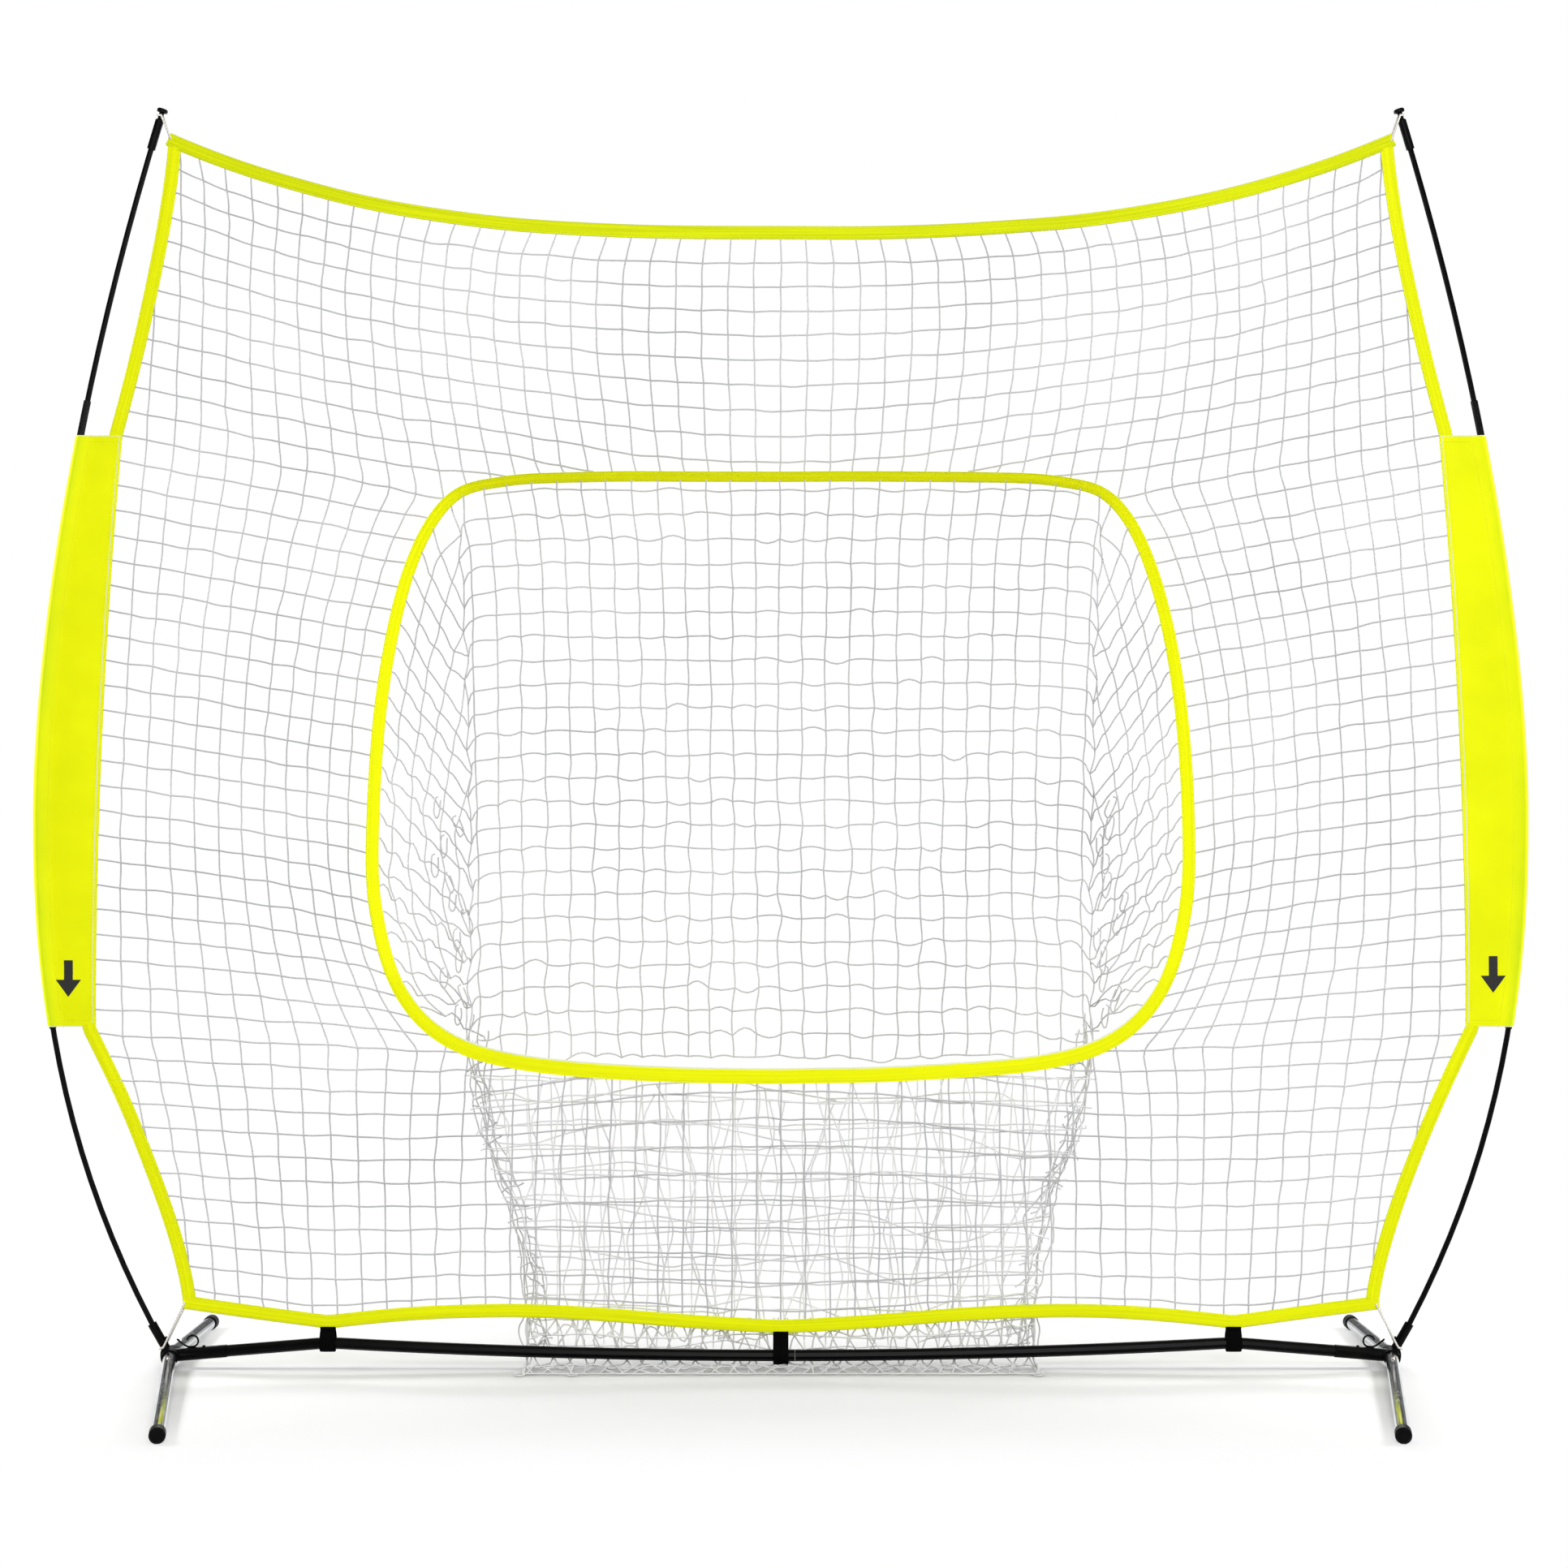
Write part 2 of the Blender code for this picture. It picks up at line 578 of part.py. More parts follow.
# ---- legs -----------------------------------------------------------------------------------
def make_leg(side, word, place, hub, way, reach):
    """Chrome socket, swaged leg tube, foot cap and snap button."""
    carrier = frame_at(f"{place}_leg_{word}_axis", hub, (0, 0, 0), aim(way))
    outer = LEG_RADIUS
    spigot = LEG_RADIUS - LEG_SOCKET_WALL - FIT
    socket = turned(
        f"{place}_leg_socket_{word}",
        tube_profile(outer, spigot + FIT, BARREL_SEAT + FIT, LEG_SOCKET_REACH), CHROME, carrier)
    combine(socket, "DIFFERENCE", button_hole(f"{place}_socket_hole_{word}", carrier,
                                              BUTTON_FROM_HUB, outer))

    shoulder = LEG_SOCKET_REACH + FIT
    inside = LEG_SOCKET_REACH - LEG_SPIGOT_LENGTH
    end = reach - FOOT_END - FIT
    profile = [
        (outer, end), (outer, shoulder), (spigot, shoulder), (spigot, inside),
        (spigot - LEG_WALL, inside), (spigot - LEG_WALL, shoulder + 0.002),
        (outer - LEG_WALL, shoulder + 0.006), (outer - LEG_WALL, end), (outer, end),
    ]
    leg = turned(f"{place}_leg_{word}", profile, CHROME, carrier)
    combine(leg, "DIFFERENCE", button_hole(f"{place}_leg_hole_{word}", carrier,
                                           BUTTON_FROM_HUB, spigot))

    make_foot(f"{place}_foot_{word}", carrier, outer, reach)
    make_button(f"{place}_button_{word}", carrier, BUTTON_FROM_HUB, outer, spigot - LEG_WALL)


def make_foot(name, carrier, leg_radius, reach):
    """A vinyl cup over the leg's end, with the flat that it stands on."""
    bore = leg_radius + FIT
    outer = bore + FOOT_WALL
    profile = [
        (0, reach), (outer * 0.75, reach), (outer, reach - 0.003), (outer, reach - FOOT_LENGTH),
        (bore, reach - FOOT_LENGTH), (bore, reach - FOOT_END), (0, reach - FOOT_END),
    ]
    foot = turned(name, profile, VINYL, carrier)
    combine(foot, "DIFFERENCE", FLOOR)


def make_button(name, carrier, along, socket_radius, spigot_bore):
    """A domed snap button that stands up out of the socket."""
    top = socket_radius + BUTTON_PROUD
    bottom = spigot_bore - 0.0012
    radius = BUTTON_RADIUS
    profile = [
        (0, top), (radius * 0.55, top - 0.0004), (radius * 0.88, top - 0.0013),
        (radius, top - 0.0026), (radius, bottom), (0, bottom),
    ]
    turned(name, profile, NICKEL, carrier, (0, 0, along), TOWARDS_Y, SMALL_STEPS)


# ---- base bar and straps --------------------------------------------------------------------
def make_bar(side, word, hub):
    """One half of the base bar with the reduced end that plugs into the hub's stub."""
    way = stub_direction(side)
    centre = Vector((side * HUB_HALF_SPAN, 0, HUB_HEIGHT))
    start = centre + way * (STUB_REACH + FIT)
    joint = BAR_JOINT_X + side * FIT / 2
    ease = 0.02
    inner_x = side * (STRAP_HALF_SPAN - ease)
    turn = [
        centre.lerp(Vector((side * STRAP_HALF_SPAN, 0, bar_z(STRAP_HALF_SPAN))),
                    1 - ease / (HUB_HALF_SPAN - STRAP_HALF_SPAN)),
        Vector((side * STRAP_HALF_SPAN, 0, bar_z(STRAP_HALF_SPAN) - ease * 0.02)),
    ]
    sag = [Vector((x, 0, bar_z(x))) for x in np.linspace(inner_x, joint, 12)]
    bar = rod(f"base_bar_{word}", [start] + turn + sag, BAR_RADIUS, PAINT, sides=3)
    carrier = frame_at(f"bar_button_{word}_axis", hub, (0, 0, 0), aim(way))
    combine(bar, "UNION", cylinder(f"bar_spigot_{word}", BAR_SPIGOT_RADIUS,
                                   STUB_REACH - BAR_SPIGOT_LENGTH, STUB_REACH + 0.010, None,
                                   carrier))
    combine(bar, "DIFFERENCE", button_hole(f"bar_hole_{word}", carrier, BAR_BUTTON_FROM_HUB,
                                           BAR_SPIGOT_RADIUS))
    top = STUB_RADIUS + BUTTON_PROUD * 0.7
    bottom = BAR_SPIGOT_RADIUS * 0.3 + BUTTON_PROUD * 0.7 + FIT
    profile = [(0, top), (BUTTON_RADIUS * 0.7, top - 0.0006), (BUTTON_RADIUS, top - 0.0020),
               (BUTTON_RADIUS, bottom), (0, bottom)]
    turned(f"bar_button_{word}", profile, PAINT, carrier, (0, 0, BAR_BUTTON_FROM_HUB), TOWARDS_Y,
           SMALL_STEPS)


def make_strap(name, x):
    """A hook-and-loop strap: a band round the bar whose top is sewn to the net's tape."""
    middle = bar_z(x)
    radius = BAR_RADIUS + STRAP_SLACK + STRAP_THICKNESS / 2
    top = bottom_tape_z(x) - TAPE_WIDTH / 2 - FIT - STRAP_THICKNESS
    around = []
    for turn in np.linspace(math.pi, 2 * math.pi, 9):
        around.append((radius * math.cos(turn), middle + radius * math.sin(turn)))
    around += [(radius * 0.55, middle + radius), (0.0016, top), (-0.0016, top),
               (-radius * 0.55, middle + radius)]
    around.append(around[0])
    half = STRAP_WIDTH / 2
    rows = [[(x - half, y, z), (x + half, y, z)] for y, z in around]
    sheet(name, rows, STRAP_THICKNESS, WEBBING)


# ---- net, tapes, sleeves --------------------------------------------------------------------
def upper_tape_end(x):
    """Height where the side tape stops under the top tape."""
    slope = (top_tape_z(x + 0.001) - top_tape_z(x - 0.001)) / 0.002
    return top_tape_z(x) - TAPE_WIDTH / 2 * math.hypot(1, slope) - FIT


def lower_tape_end(x):
    """Height where the side tape stops above the bottom tape."""
    slope = (bottom_tape_z(x + 0.001) - bottom_tape_z(x - 0.001)) / 0.002
    return bottom_tape_z(x) + TAPE_WIDTH / 2 * math.hypot(1, slope) + FIT


def top_stations():
    """Half spans where the net's strands meet the top tape."""
    half = side_tape_inner_x(upper_tape_end(TOP_CORNER_X - TAPE_WIDTH / 2)) - FIT
    return np.linspace(-half, half, 2 * SIDE_MESHES + POCKET_MESHES_ACROSS + 1)


def low_stations():
    """Half spans where they meet the bottom tape, one of them at each outer strap."""
    half = side_tape_inner_x(lower_tape_end(BOTTOM_CORNER_X - TAPE_WIDTH / 2)) - FIT
    inner = SIDE_MESHES + POCKET_MESHES_ACROSS // 2 - CORNER_MESHES
    right = np.concatenate([np.linspace(0, STRAP_HALF_SPAN, inner + 1),
                            np.linspace(STRAP_HALF_SPAN, half, CORNER_MESHES + 1)[1:]])
    return np.concatenate([-right[:0:-1], right])


def side_stations():
    """Heights where they meet the lower tape, the sleeve and the upper tape."""
    bottom = lower_tape_end(low_stations()[-1])
    top = upper_tape_end(top_stations()[-1])
    return np.concatenate([np.linspace(bottom, SLEEVE_BOTTOM, EDGE_MESHES + 1),
                           np.linspace(SLEEVE_BOTTOM, SLEEVE_TOP, POCKET_MESHES_UP + 1)[1:],
                           np.linspace(SLEEVE_TOP, top, EDGE_MESHES + 1)[1:]])


def make_long_tapes():
    """The tapes along the net's top and bottom."""
    for name, stations, height, corner in (
        ("top_tape", top_stations(), top_tape_z, TOP_CORNER_X),
        ("bottom_tape", low_stations(), bottom_tape_z, BOTTOM_CORNER_X),
    ):
        ends = corner, corner + TAPE_WIDTH / 2
        places = [-ends[1], -ends[0], *stations, ends[0], ends[1]]
        rows = []
        for x in places:
            slope = (height(x + 0.001) - height(x - 0.001)) / 0.002
            half = TAPE_WIDTH / 2 * math.hypot(1, slope)
            rows.append([(x, 0, height(x) + half), (x, 0, height(x) - half)])
        sheet(name, rows, TAPE_THICKNESS, FABRIC)


def make_side_tapes(side, word):
    """The tapes from the sleeve's ends to the net's corners."""
    stations = side_stations()
    upper = stations[-EDGE_MESHES - 1:].copy()
    lower = stations[:EDGE_MESHES + 1][::-1].copy()
    upper[0] += SEAM
    lower[0] -= SEAM
    for name, heights, end, corner in (
        ("upper_side_tape", upper, upper_tape_end, TOP_CORNER_X),
        ("lower_side_tape", lower, lower_tape_end, BOTTOM_CORNER_X),
    ):
        rows = []
        for height in heights:
            run = side_tape_inner_x(height + 0.002) - side_tape_inner_x(height - 0.002)
            width = TAPE_WIDTH * math.hypot(1, run / 0.004)
            inner = side_tape_inner_x(height)
            rows.append([(side * inner, 0, height), (side * (inner + width), 0, height)])
        rows[-1][0] = (rows[-1][0][0], 0, end(corner - TAPE_WIDTH / 2))
        rows[-1][1] = (side * (corner + TAPE_WIDTH / 2), 0, end(corner + TAPE_WIDTH / 2))
        sheet(f"{name}_{word}", rows, TAPE_THICKNESS, FABRIC)


def make_sleeve(side, word):
    """The fabric sleeve: a flat double layer that opens round the pole at its outer edge."""
    turns = np.radians(np.linspace(-135, 135, 7))
    reach = POLE_RADIUS + FIT + FERRULE_WALL + SLEEVE_POLE_GAP + SLEEVE_WALL / 2
    reach /= math.cos((turns[1] - turns[0]) / 2)
    flat = SLEEVE_WALL / 2 + FIT
    rows = []
    for z in side_stations()[EDGE_MESHES:-EDGE_MESHES]:
        inner = sleeve_inner_x(z) + SLEEVE_WALL / 2
        pole = pole_x(z)
        ring = [(inner, -flat)]
        ring.append((pole - 2.6 * reach, -flat - reach * 0.12))
        for turn in turns:
            ring.append((pole + reach * math.cos(turn), reach * math.sin(turn)))
        ring.append((pole - 2.6 * reach, flat + reach * 0.12))
        ring.append((inner, flat))
        ring.append(ring[0])
        rows.append([(side * x, y, z) for x, y in ring])
    sheet(f"pole_sleeve_{word}", rows, SLEEVE_WALL, FABRIC)


def net_grid():
    """Crossing points of the net's strands, rows from bottom to top, relaxed like a taut net."""
    top = np.array([(x, upper_tape_end(x)) for x in top_stations()])
    low = np.array([(x, lower_tape_end(x)) for x in low_stations()])
    flank = np.array([(side_tape_inner_x(z) - FIT, z) for z in side_stations()])
    up, across = len(flank) - 1, len(top) - 1
    grid = np.zeros((up + 1, across + 1, 2))
    for row in range(up + 1):
        for column in range(across + 1):
            share = column / across
            grid[row, column] = flank[row] * (2 * share - 1, 1)
    grid[0], grid[-1] = low, top
    grid[:, 0], grid[:, -1] = flank * (-1, 1), flank

    rim_top, rim_side, rim_low = [
        part[::RIM_SPLITS] for part in rim_parts(TAPE_WIDTH / 2 + FIT)]
    left, right = SIDE_MESHES, SIDE_MESHES + POCKET_MESHES_ACROSS
    bottom, head = EDGE_MESHES, EDGE_MESHES + POCKET_MESHES_UP
    fixed = np.zeros(grid.shape[:2], bool)
    fixed[[0, -1]] = True
    fixed[:, [0, -1]] = True
    fixed[bottom:head + 1, left:right + 1] = True
    grid[bottom:head + 1, left] = rim_side * (-1, 1)
    grid[bottom:head + 1, right] = rim_side
    grid[head, left:right + 1] = rim_top
    grid[bottom, left:right + 1] = rim_low
    for _ in range(400):
        mean = (np.roll(grid, 1, 0) + np.roll(grid, -1, 0) + np.roll(grid, 1, 1)
                + np.roll(grid, -1, 1)) / 4
        grid = np.where(fixed[..., None], grid, mean)
    return grid


def make_net():
    """The net as four panels round the pocket, each a flat grid of strands."""
    grid = net_grid()
    rim = rim_half(TAPE_WIDTH / 2 + FIT)
    rim = np.vstack([rim, rim * (-1, 1)])
    left, right = SIDE_MESHES, SIDE_MESHES + POCKET_MESHES_ACROSS
    bottom, head = EDGE_MESHES, EDGE_MESHES + POCKET_MESHES_UP
    panels = {
        "net_top": grid[head:],
        "net_bottom": grid[:bottom + 1],
        "net_left": grid[bottom:head + 1, :left + 1],
        "net_right": grid[bottom:head + 1, right:],
    }
    for name, panel in panels.items():
        places = np.stack([panel[..., 0], np.zeros(panel.shape[:2]), panel[..., 1]], -1)
        if name in ("net_left", "net_right"):
            places[0, :, 2] += FIT
            places[-1, :, 2] -= FIT
        sheet(name, places, TWINE, CORD, twine=TWINE, edge=rim)


# ---- pocket ---------------------------------------------------------------------------------
def make_rim():
    """The taped rim of the pocket's mouth."""
    outer, inner = rim_half(TAPE_WIDTH / 2), rim_half(-TAPE_WIDTH / 2)
    rows = []
    for a, b in zip(outer, inner):
        rows.append([(a[0], 0, a[1]), (b[0], 0, b[1])])
    mirrored = [[(-x, y, z) for x, y, z in row] for row in rows[:-1][::-1]]
    sheet("pocket_rim", rows + mirrored, TAPE_THICKNESS, FABRIC)


def front_panel_y(z, start):
    """Middle of the pocket's front panel: behind the net where it starts, behind the bar below."""
    near = TWINE / 2 + FIT + POCKET_CLOTH / 2
    far = BAR_RADIUS + STRAP_SLACK + STRAP_THICKNESS + FIT + POCKET_CLOTH / 2
    share = (start - z) / (start - FRONT_TUCK_HEIGHT)
    return near + (far - near) * min(max(share, 0), 1)


def make_pocket():
    """The ball pocket: the back net, the bag below it, its front below the rim, and two sides."""
    rim_top, rim_side, rim_low = rim_parts(0.0)
    half = POCKET_CLOTH / 2
    behind_rim = TAPE_THICKNESS / 2 + FIT + half + EDGE_LEAN
    gap = half + SEAM + half
    corner_x = rim_top[-1][0]

    # the back net from the rim's top, and the bag from there to the hem
    rim_top = spaced(rim_top, 14)
    rows = [[(x, behind_rim, z) for x, z in rim_top]]
    for wide, depth, height in POCKET_BACK:
        rows.append([(x / corner_x * wide, depth, height) for x, _ in rim_top])
    sheet("pocket_back", rows, POCKET_CLOTH, CORD)
    hem_y = front_panel_y(HEM_HEIGHT, RIM_BOTTOM)
    top_wide, top_depth, top_height = POCKET_BAG[0]
    bag = [(top_wide, top_depth, top_height - SEAM), *POCKET_BAG[1:],
           (HEM_HALF_WIDTH, hem_y + gap, HEM_HEIGHT + half)]
    sheet("pocket_bag", [[(x * wide, depth, height) for x in np.linspace(-1, 1, 7)]
                         for wide, depth, height in bag], POCKET_CLOTH, CORD)

    # the front panel from the rim down to the hem
    rim_low = spaced(rim_low, 12)
    low_x, low_z = rim_low[-1]
    rows = []
    for foot in (None, FRONT_TUCK_HEIGHT, HEM_HEIGHT):
        row = []
        for x, z in rim_low:
            height = z if foot is None else foot
            share = (z - height) / (z - HEM_HEIGHT)
            hem_x = x / low_x * HEM_HALF_WIDTH
            row.append((x + (hem_x - x) * share, front_panel_y(height, z), height))
        rows.append(row)
    sheet("pocket_front", rows, POCKET_CLOTH, CORD)

    # the sides: front edge down the rim and the front panel, back edge down the back and bag
    front_edge = [(x, behind_rim, z) for x, z in rim_side[::-1][GUSSET_START:-1]]
    side_foot = HEM_HEIGHT + gap + half
    for share in np.linspace(0, 1, 8):
        z = low_z + (side_foot - low_z) * share
        front_edge.append((low_x + (HEM_HALF_WIDTH - low_x) * share,
                           front_panel_y(z, low_z) + gap, z))
    seam = np.array(POCKET_BACK + POCKET_BAG[1:])
    heights = seam[:, 2]
    back_edge = []
    for _, front_depth, z in front_edge:
        level = min(max(z, heights[-1]), heights[0])
        wide, depth = [np.interp(-level, -heights, seam[:, k]) for k in (0, 1)]
        back_edge.append((wide, max(depth - gap, front_depth + gap), level))
    for side, word in SIDES:
        rows = [[(side * x, y, z) for x, y, z in (a, np.add(a, b) / 2, b)]
                for a, b in zip(np.array(front_edge), np.array(back_edge))]
        sheet(f"pocket_side_{word}", rows, POCKET_CLOTH, CORD)


# ---- corner loops ---------------------------------------------------------------------------
def make_loop(name, corner, around, axis, radius, widest):
    """An elastic loop from the net's corner, past a post's widest part, round it and back."""
    corner, around, axis = Vector(corner), Vector(around), Vector(axis).normalized()
    pull = (around - corner).normalized()
    across = axis.cross(pull).normalized()
    pull = across.cross(axis).normalized()
    bend = widest + FIT + LOOP_RADIUS
    centre = around - pull * (widest - radius)
    turn = [centre + across * (bend * math.cos(angle)) + pull * (bend * math.sin(angle))
            for angle in np.linspace(0, math.pi, 9)]
    spread = across * (TAPE_THICKNESS / 2 + FIT + LOOP_RADIUS)
    first = corner + spread
    last = corner - spread
    line = [first, first.lerp(turn[0], 0.5)] + turn + [turn[-1].lerp(last, 0.5), last]
    rod(name, line, LOOP_RADIUS, ELASTIC)


def make_corner_loops(side, word):
    """Loops from the top corners to the pole tips and from the bottom corners to the hubs."""
    tip = pole_direction(TIP_HEIGHT)
    neck = Vector((TIP_HALF_SPAN, 0, TIP_HEIGHT)) + tip * (FIT + 0.003 + CAP_NECK_LENGTH * 0.45)
    top = Vector((TOP_CORNER_X + TAPE_WIDTH * 0.3, 0, 0))
    top.z = top_tape_z(top.x)
    foot = pole_direction(HUB_HEIGHT)
    post = Vector((HUB_HALF_SPAN, 0, HUB_HEIGHT)) + foot * (POLE_SOCKET_REACH * 0.30)
    low = Vector((BOTTOM_CORNER_X + TAPE_WIDTH * 0.3, 0, 0))
    low.z = bottom_tape_z(low.x)
    for name, corner, around, axis, radius, widest in (
        ("top_loop", top, neck, tip, CAP_NECK_RADIUS, CAP_SLEEVE_RADIUS),
        ("bottom_loop", low, post, foot, POLE_SOCKET_RADIUS, POLE_SOCKET_RADIUS),
    ):
        mirror = Vector((side, 1, 1))
        make_loop(f"{name}_{word}", corner * mirror, around * mirror, axis * mirror, radius,
                  widest)


# ---- the whole net --------------------------------------------------------------------------
for old in list(bpy.data.objects):
    bpy.data.objects.remove(old)

NET = new_collection("pitching_net")
CUTTERS = new_collection("cutters")
POLE = material("black_fibreglass", (0.006, 0.006, 0.007), 0.35)
PAINT = material("black_painted_steel", (0.005, 0.005, 0.006), 0.32)
STEEL = material("black_steel_ferrule", (0.008, 0.008, 0.009), 0.30)
CHROME = material("chrome", (0.75, 0.76, 0.78), 0.10, 1.0)
NICKEL = material("nickel_plate", (0.66, 0.65, 0.62), 0.22, 1.0)
VINYL = material("black_vinyl", (0.010, 0.010, 0.011), 0.45)
FABRIC = material("yellow_fabric", (0.86, 0.92, 0.004), 0.70)
CORD = material("white_twine", (0.72, 0.72, 0.72), 0.75)
WEBBING = material("black_webbing", (0.008, 0.008, 0.008), 0.85)
ELASTIC = material("white_elastic", (0.80, 0.79, 0.76), 0.60)

SIDES = ((-1, "left"), (1, "right"))
TOWARDS_Y = Euler((-math.pi / 2, 0, 0))
ROOT = frame_at("net_frame", None, (0, 0, 0))

bpy.ops.mesh.primitive_cube_add(size=1)
FLOOR = bpy.context.object
FLOOR.name = "floor_cutter"
FLOOR.scale = (4, 4, 0.1)
FLOOR.location = (0, 0, -0.05)
bpy.ops.object.transform_apply(location=True, rotation=True, scale=True)


def build():
    for side, word in SIDES:
        hub = frame_at(f"hub_{word}_centre", ROOT, (side * HUB_HALF_SPAN, 0, HUB_HEIGHT))
        front = leg_direction(side, FRONT_TOE_IN, -1, FRONT_LEG_REACH)
        rear = leg_direction(side, REAR_TOE_IN, 1, REAR_LEG_REACH)
        make_hub(side, word, hub, {"front": front, "rear": rear})
        make_leg(side, word, "front", hub, front, FRONT_LEG_REACH)
        make_leg(side, word, "rear", hub, rear, REAR_LEG_REACH)
        make_bar(side, word, hub)
        make_pole(side, word)
        make_side_tapes(side, word)
        make_sleeve(side, word)
        make_corner_loops(side, word)
    for name, x in (("strap_left", -STRAP_HALF_SPAN), ("strap_middle", 0.0),
                    ("strap_right", STRAP_HALF_SPAN)):
        make_strap(name, x)
    make_long_tapes()
    make_net()
    make_rim()
    make_pocket()


def reach_of(name, axis):
    """Smallest and largest coordinate of a finished piece along an axis."""
    shape = bpy.data.objects[name].evaluated_get(bpy.context.evaluated_depsgraph_get())
    places = [(shape.matrix_world @ v.co)[axis] for v in shape.to_mesh().vertices]
    return min(places), max(places)


def centre_footprint():
    """Move the whole net so that its box stands centred on the origin."""
    bpy.context.view_layer.update()
    front = reach_of("front_foot_left", 1)[0]
    back = reach_of("rear_foot_left", 1)[1]
    ROOT.location.y = -(front + back) / 2


build()
centre_footprint()
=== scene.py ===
import math

import bmesh
import bpy
import numpy as np
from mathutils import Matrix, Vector


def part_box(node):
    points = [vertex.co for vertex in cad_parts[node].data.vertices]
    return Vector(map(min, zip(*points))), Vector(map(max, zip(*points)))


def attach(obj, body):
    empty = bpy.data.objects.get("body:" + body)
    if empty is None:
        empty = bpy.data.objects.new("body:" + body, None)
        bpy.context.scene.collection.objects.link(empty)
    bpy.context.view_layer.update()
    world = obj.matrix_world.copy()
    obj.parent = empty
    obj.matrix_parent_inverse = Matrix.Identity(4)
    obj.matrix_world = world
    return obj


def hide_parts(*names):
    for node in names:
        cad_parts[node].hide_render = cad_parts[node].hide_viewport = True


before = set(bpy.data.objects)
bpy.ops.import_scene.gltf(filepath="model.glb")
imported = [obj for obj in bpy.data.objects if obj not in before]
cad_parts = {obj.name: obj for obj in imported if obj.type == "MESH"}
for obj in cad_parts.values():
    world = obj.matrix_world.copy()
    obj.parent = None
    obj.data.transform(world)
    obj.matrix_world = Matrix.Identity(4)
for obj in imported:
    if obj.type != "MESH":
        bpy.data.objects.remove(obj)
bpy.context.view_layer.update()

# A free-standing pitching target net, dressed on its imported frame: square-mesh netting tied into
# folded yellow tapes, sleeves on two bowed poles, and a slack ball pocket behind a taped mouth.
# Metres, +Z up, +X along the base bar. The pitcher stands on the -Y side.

TAPE_LOW, TAPE_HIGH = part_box("top_tape")
NET_Y = (TAPE_LOW.y + TAPE_HIGH.y) / 2       # depth of the plane that the net hangs in
MM = 0.001
SIDES = ((-1, "left"), (1, "right"))
CHANCE = np.random.default_rng(11)

# ---- the frame's lines, as the CAD has them ------------------------------------------------
HUB_HALF_SPAN, HUB_HEIGHT = 1.032, 0.022
BELLY_HALF_SPAN, BELLY_HEIGHT = 1.256, 0.940
TIP_HALF_SPAN, TIP_HEIGHT = 1.050, 2.108
FERRULE_RADIUS = 0.00625
TAPE_WIDTH = 0.0225
TOP_CORNER_X, TOP_TAPE_CORNER, TOP_TAPE_MIDDLE = 1.0240, 2.0720, 1.9194
BOTTOM_CORNER_X, BOTTOM_CORNER_HEIGHT = 0.9990, 0.1100
MIDDLE_STRAP_TAPE_HEIGHT, OUTER_STRAP_TAPE_HEIGHT = 0.0705, 0.0785
SLEEVE_TOP, SLEEVE_BOTTOM = 1.5764, 0.5776
SLEEVE_INNER_TOP_X, SLEEVE_INNER_BOTTOM_X = 1.1130, 1.1580
STRAP_HALF_SPAN, STRAP_WIDTH = 0.765, 0.026
BAR_RADIUS, BAR_RISE = 0.00975, 0.0215
RIM_HALF_WIDTH, RIM_TOP, RIM_BOTTOM = 0.6894, 1.5065, 0.4939
# the mouth's right half, from the middle of its top to the middle of its bottom
RIM_OUTLINE = (
    (0.000, 1.000), (0.435, 1.000), (0.682, 0.992), (0.818, 0.957), (0.915, 0.835),
    (0.978, 0.631), (1.000, 0.408), (0.989, 0.266), (0.933, 0.144), (0.816, 0.062),
    (0.624, 0.022), (0.290, 0.004), (0.000, 0.000),
)
RIM_STEPS = 12
RIM_UPPER_CORNER, RIM_LOWER_CORNER = 3 * RIM_STEPS, 9 * RIM_STEPS
# the back of the pocket and its bag: half width, depth behind the net and height
POCKET_BACK = (
    (0.564, 0.003, 1.500), (0.545, 0.030, 1.400), (0.542, 0.068, 1.270), (0.541, 0.100, 1.120),
    (0.540, 0.127, 0.950), (0.541, 0.146, 0.780), (0.544, 0.155, 0.620), (0.541, 0.153, 0.500),
    (0.515, 0.138, 0.380), (0.470, 0.115, 0.275), (0.442, 0.088, 0.160), (0.432, 0.056, 0.060),
    (0.426, 0.030, 0.015), (0.422, 0.019, 0.006),
)


def mix(start, end, share):
    return start + (end - start) * share


def part(value, start, end):
    return (value - start) / (end - start)


def sunk_by(z, start, span):
    """0 down to a start, then growing to 1 over a span."""
    return np.clip((start - z) / span, 0, 1)


def pole_x(z):
    """Half span of the bowed poles at a height."""
    if z < BELLY_HEIGHT:
        return mix(BELLY_HALF_SPAN, HUB_HALF_SPAN, part(z, BELLY_HEIGHT, HUB_HEIGHT) ** 2.33)
    return mix(BELLY_HALF_SPAN, TIP_HALF_SPAN, part(z, BELLY_HEIGHT, TIP_HEIGHT) ** 1.72)


def pole_direction(z):
    return Vector((pole_x(z + MM) - pole_x(z - MM), 0, 2 * MM)).normalized()


def top_tape_z(x):
    return mix(TOP_TAPE_MIDDLE, TOP_TAPE_CORNER, (abs(x) / TOP_CORNER_X) ** 2.85)


def bottom_tape_z(x):
    """The bottom tape arches between the straps and runs straight from them to its corners."""
    if abs(x) < STRAP_HALF_SPAN:
        share = abs(x) / STRAP_HALF_SPAN
        chord = mix(MIDDLE_STRAP_TAPE_HEIGHT, OUTER_STRAP_TAPE_HEIGHT, share)
        return chord + 0.0220 * math.sin(math.pi * share ** 1.36)
    return mix(OUTER_STRAP_TAPE_HEIGHT, BOTTOM_CORNER_HEIGHT,
               part(abs(x), STRAP_HALF_SPAN, BOTTOM_CORNER_X))


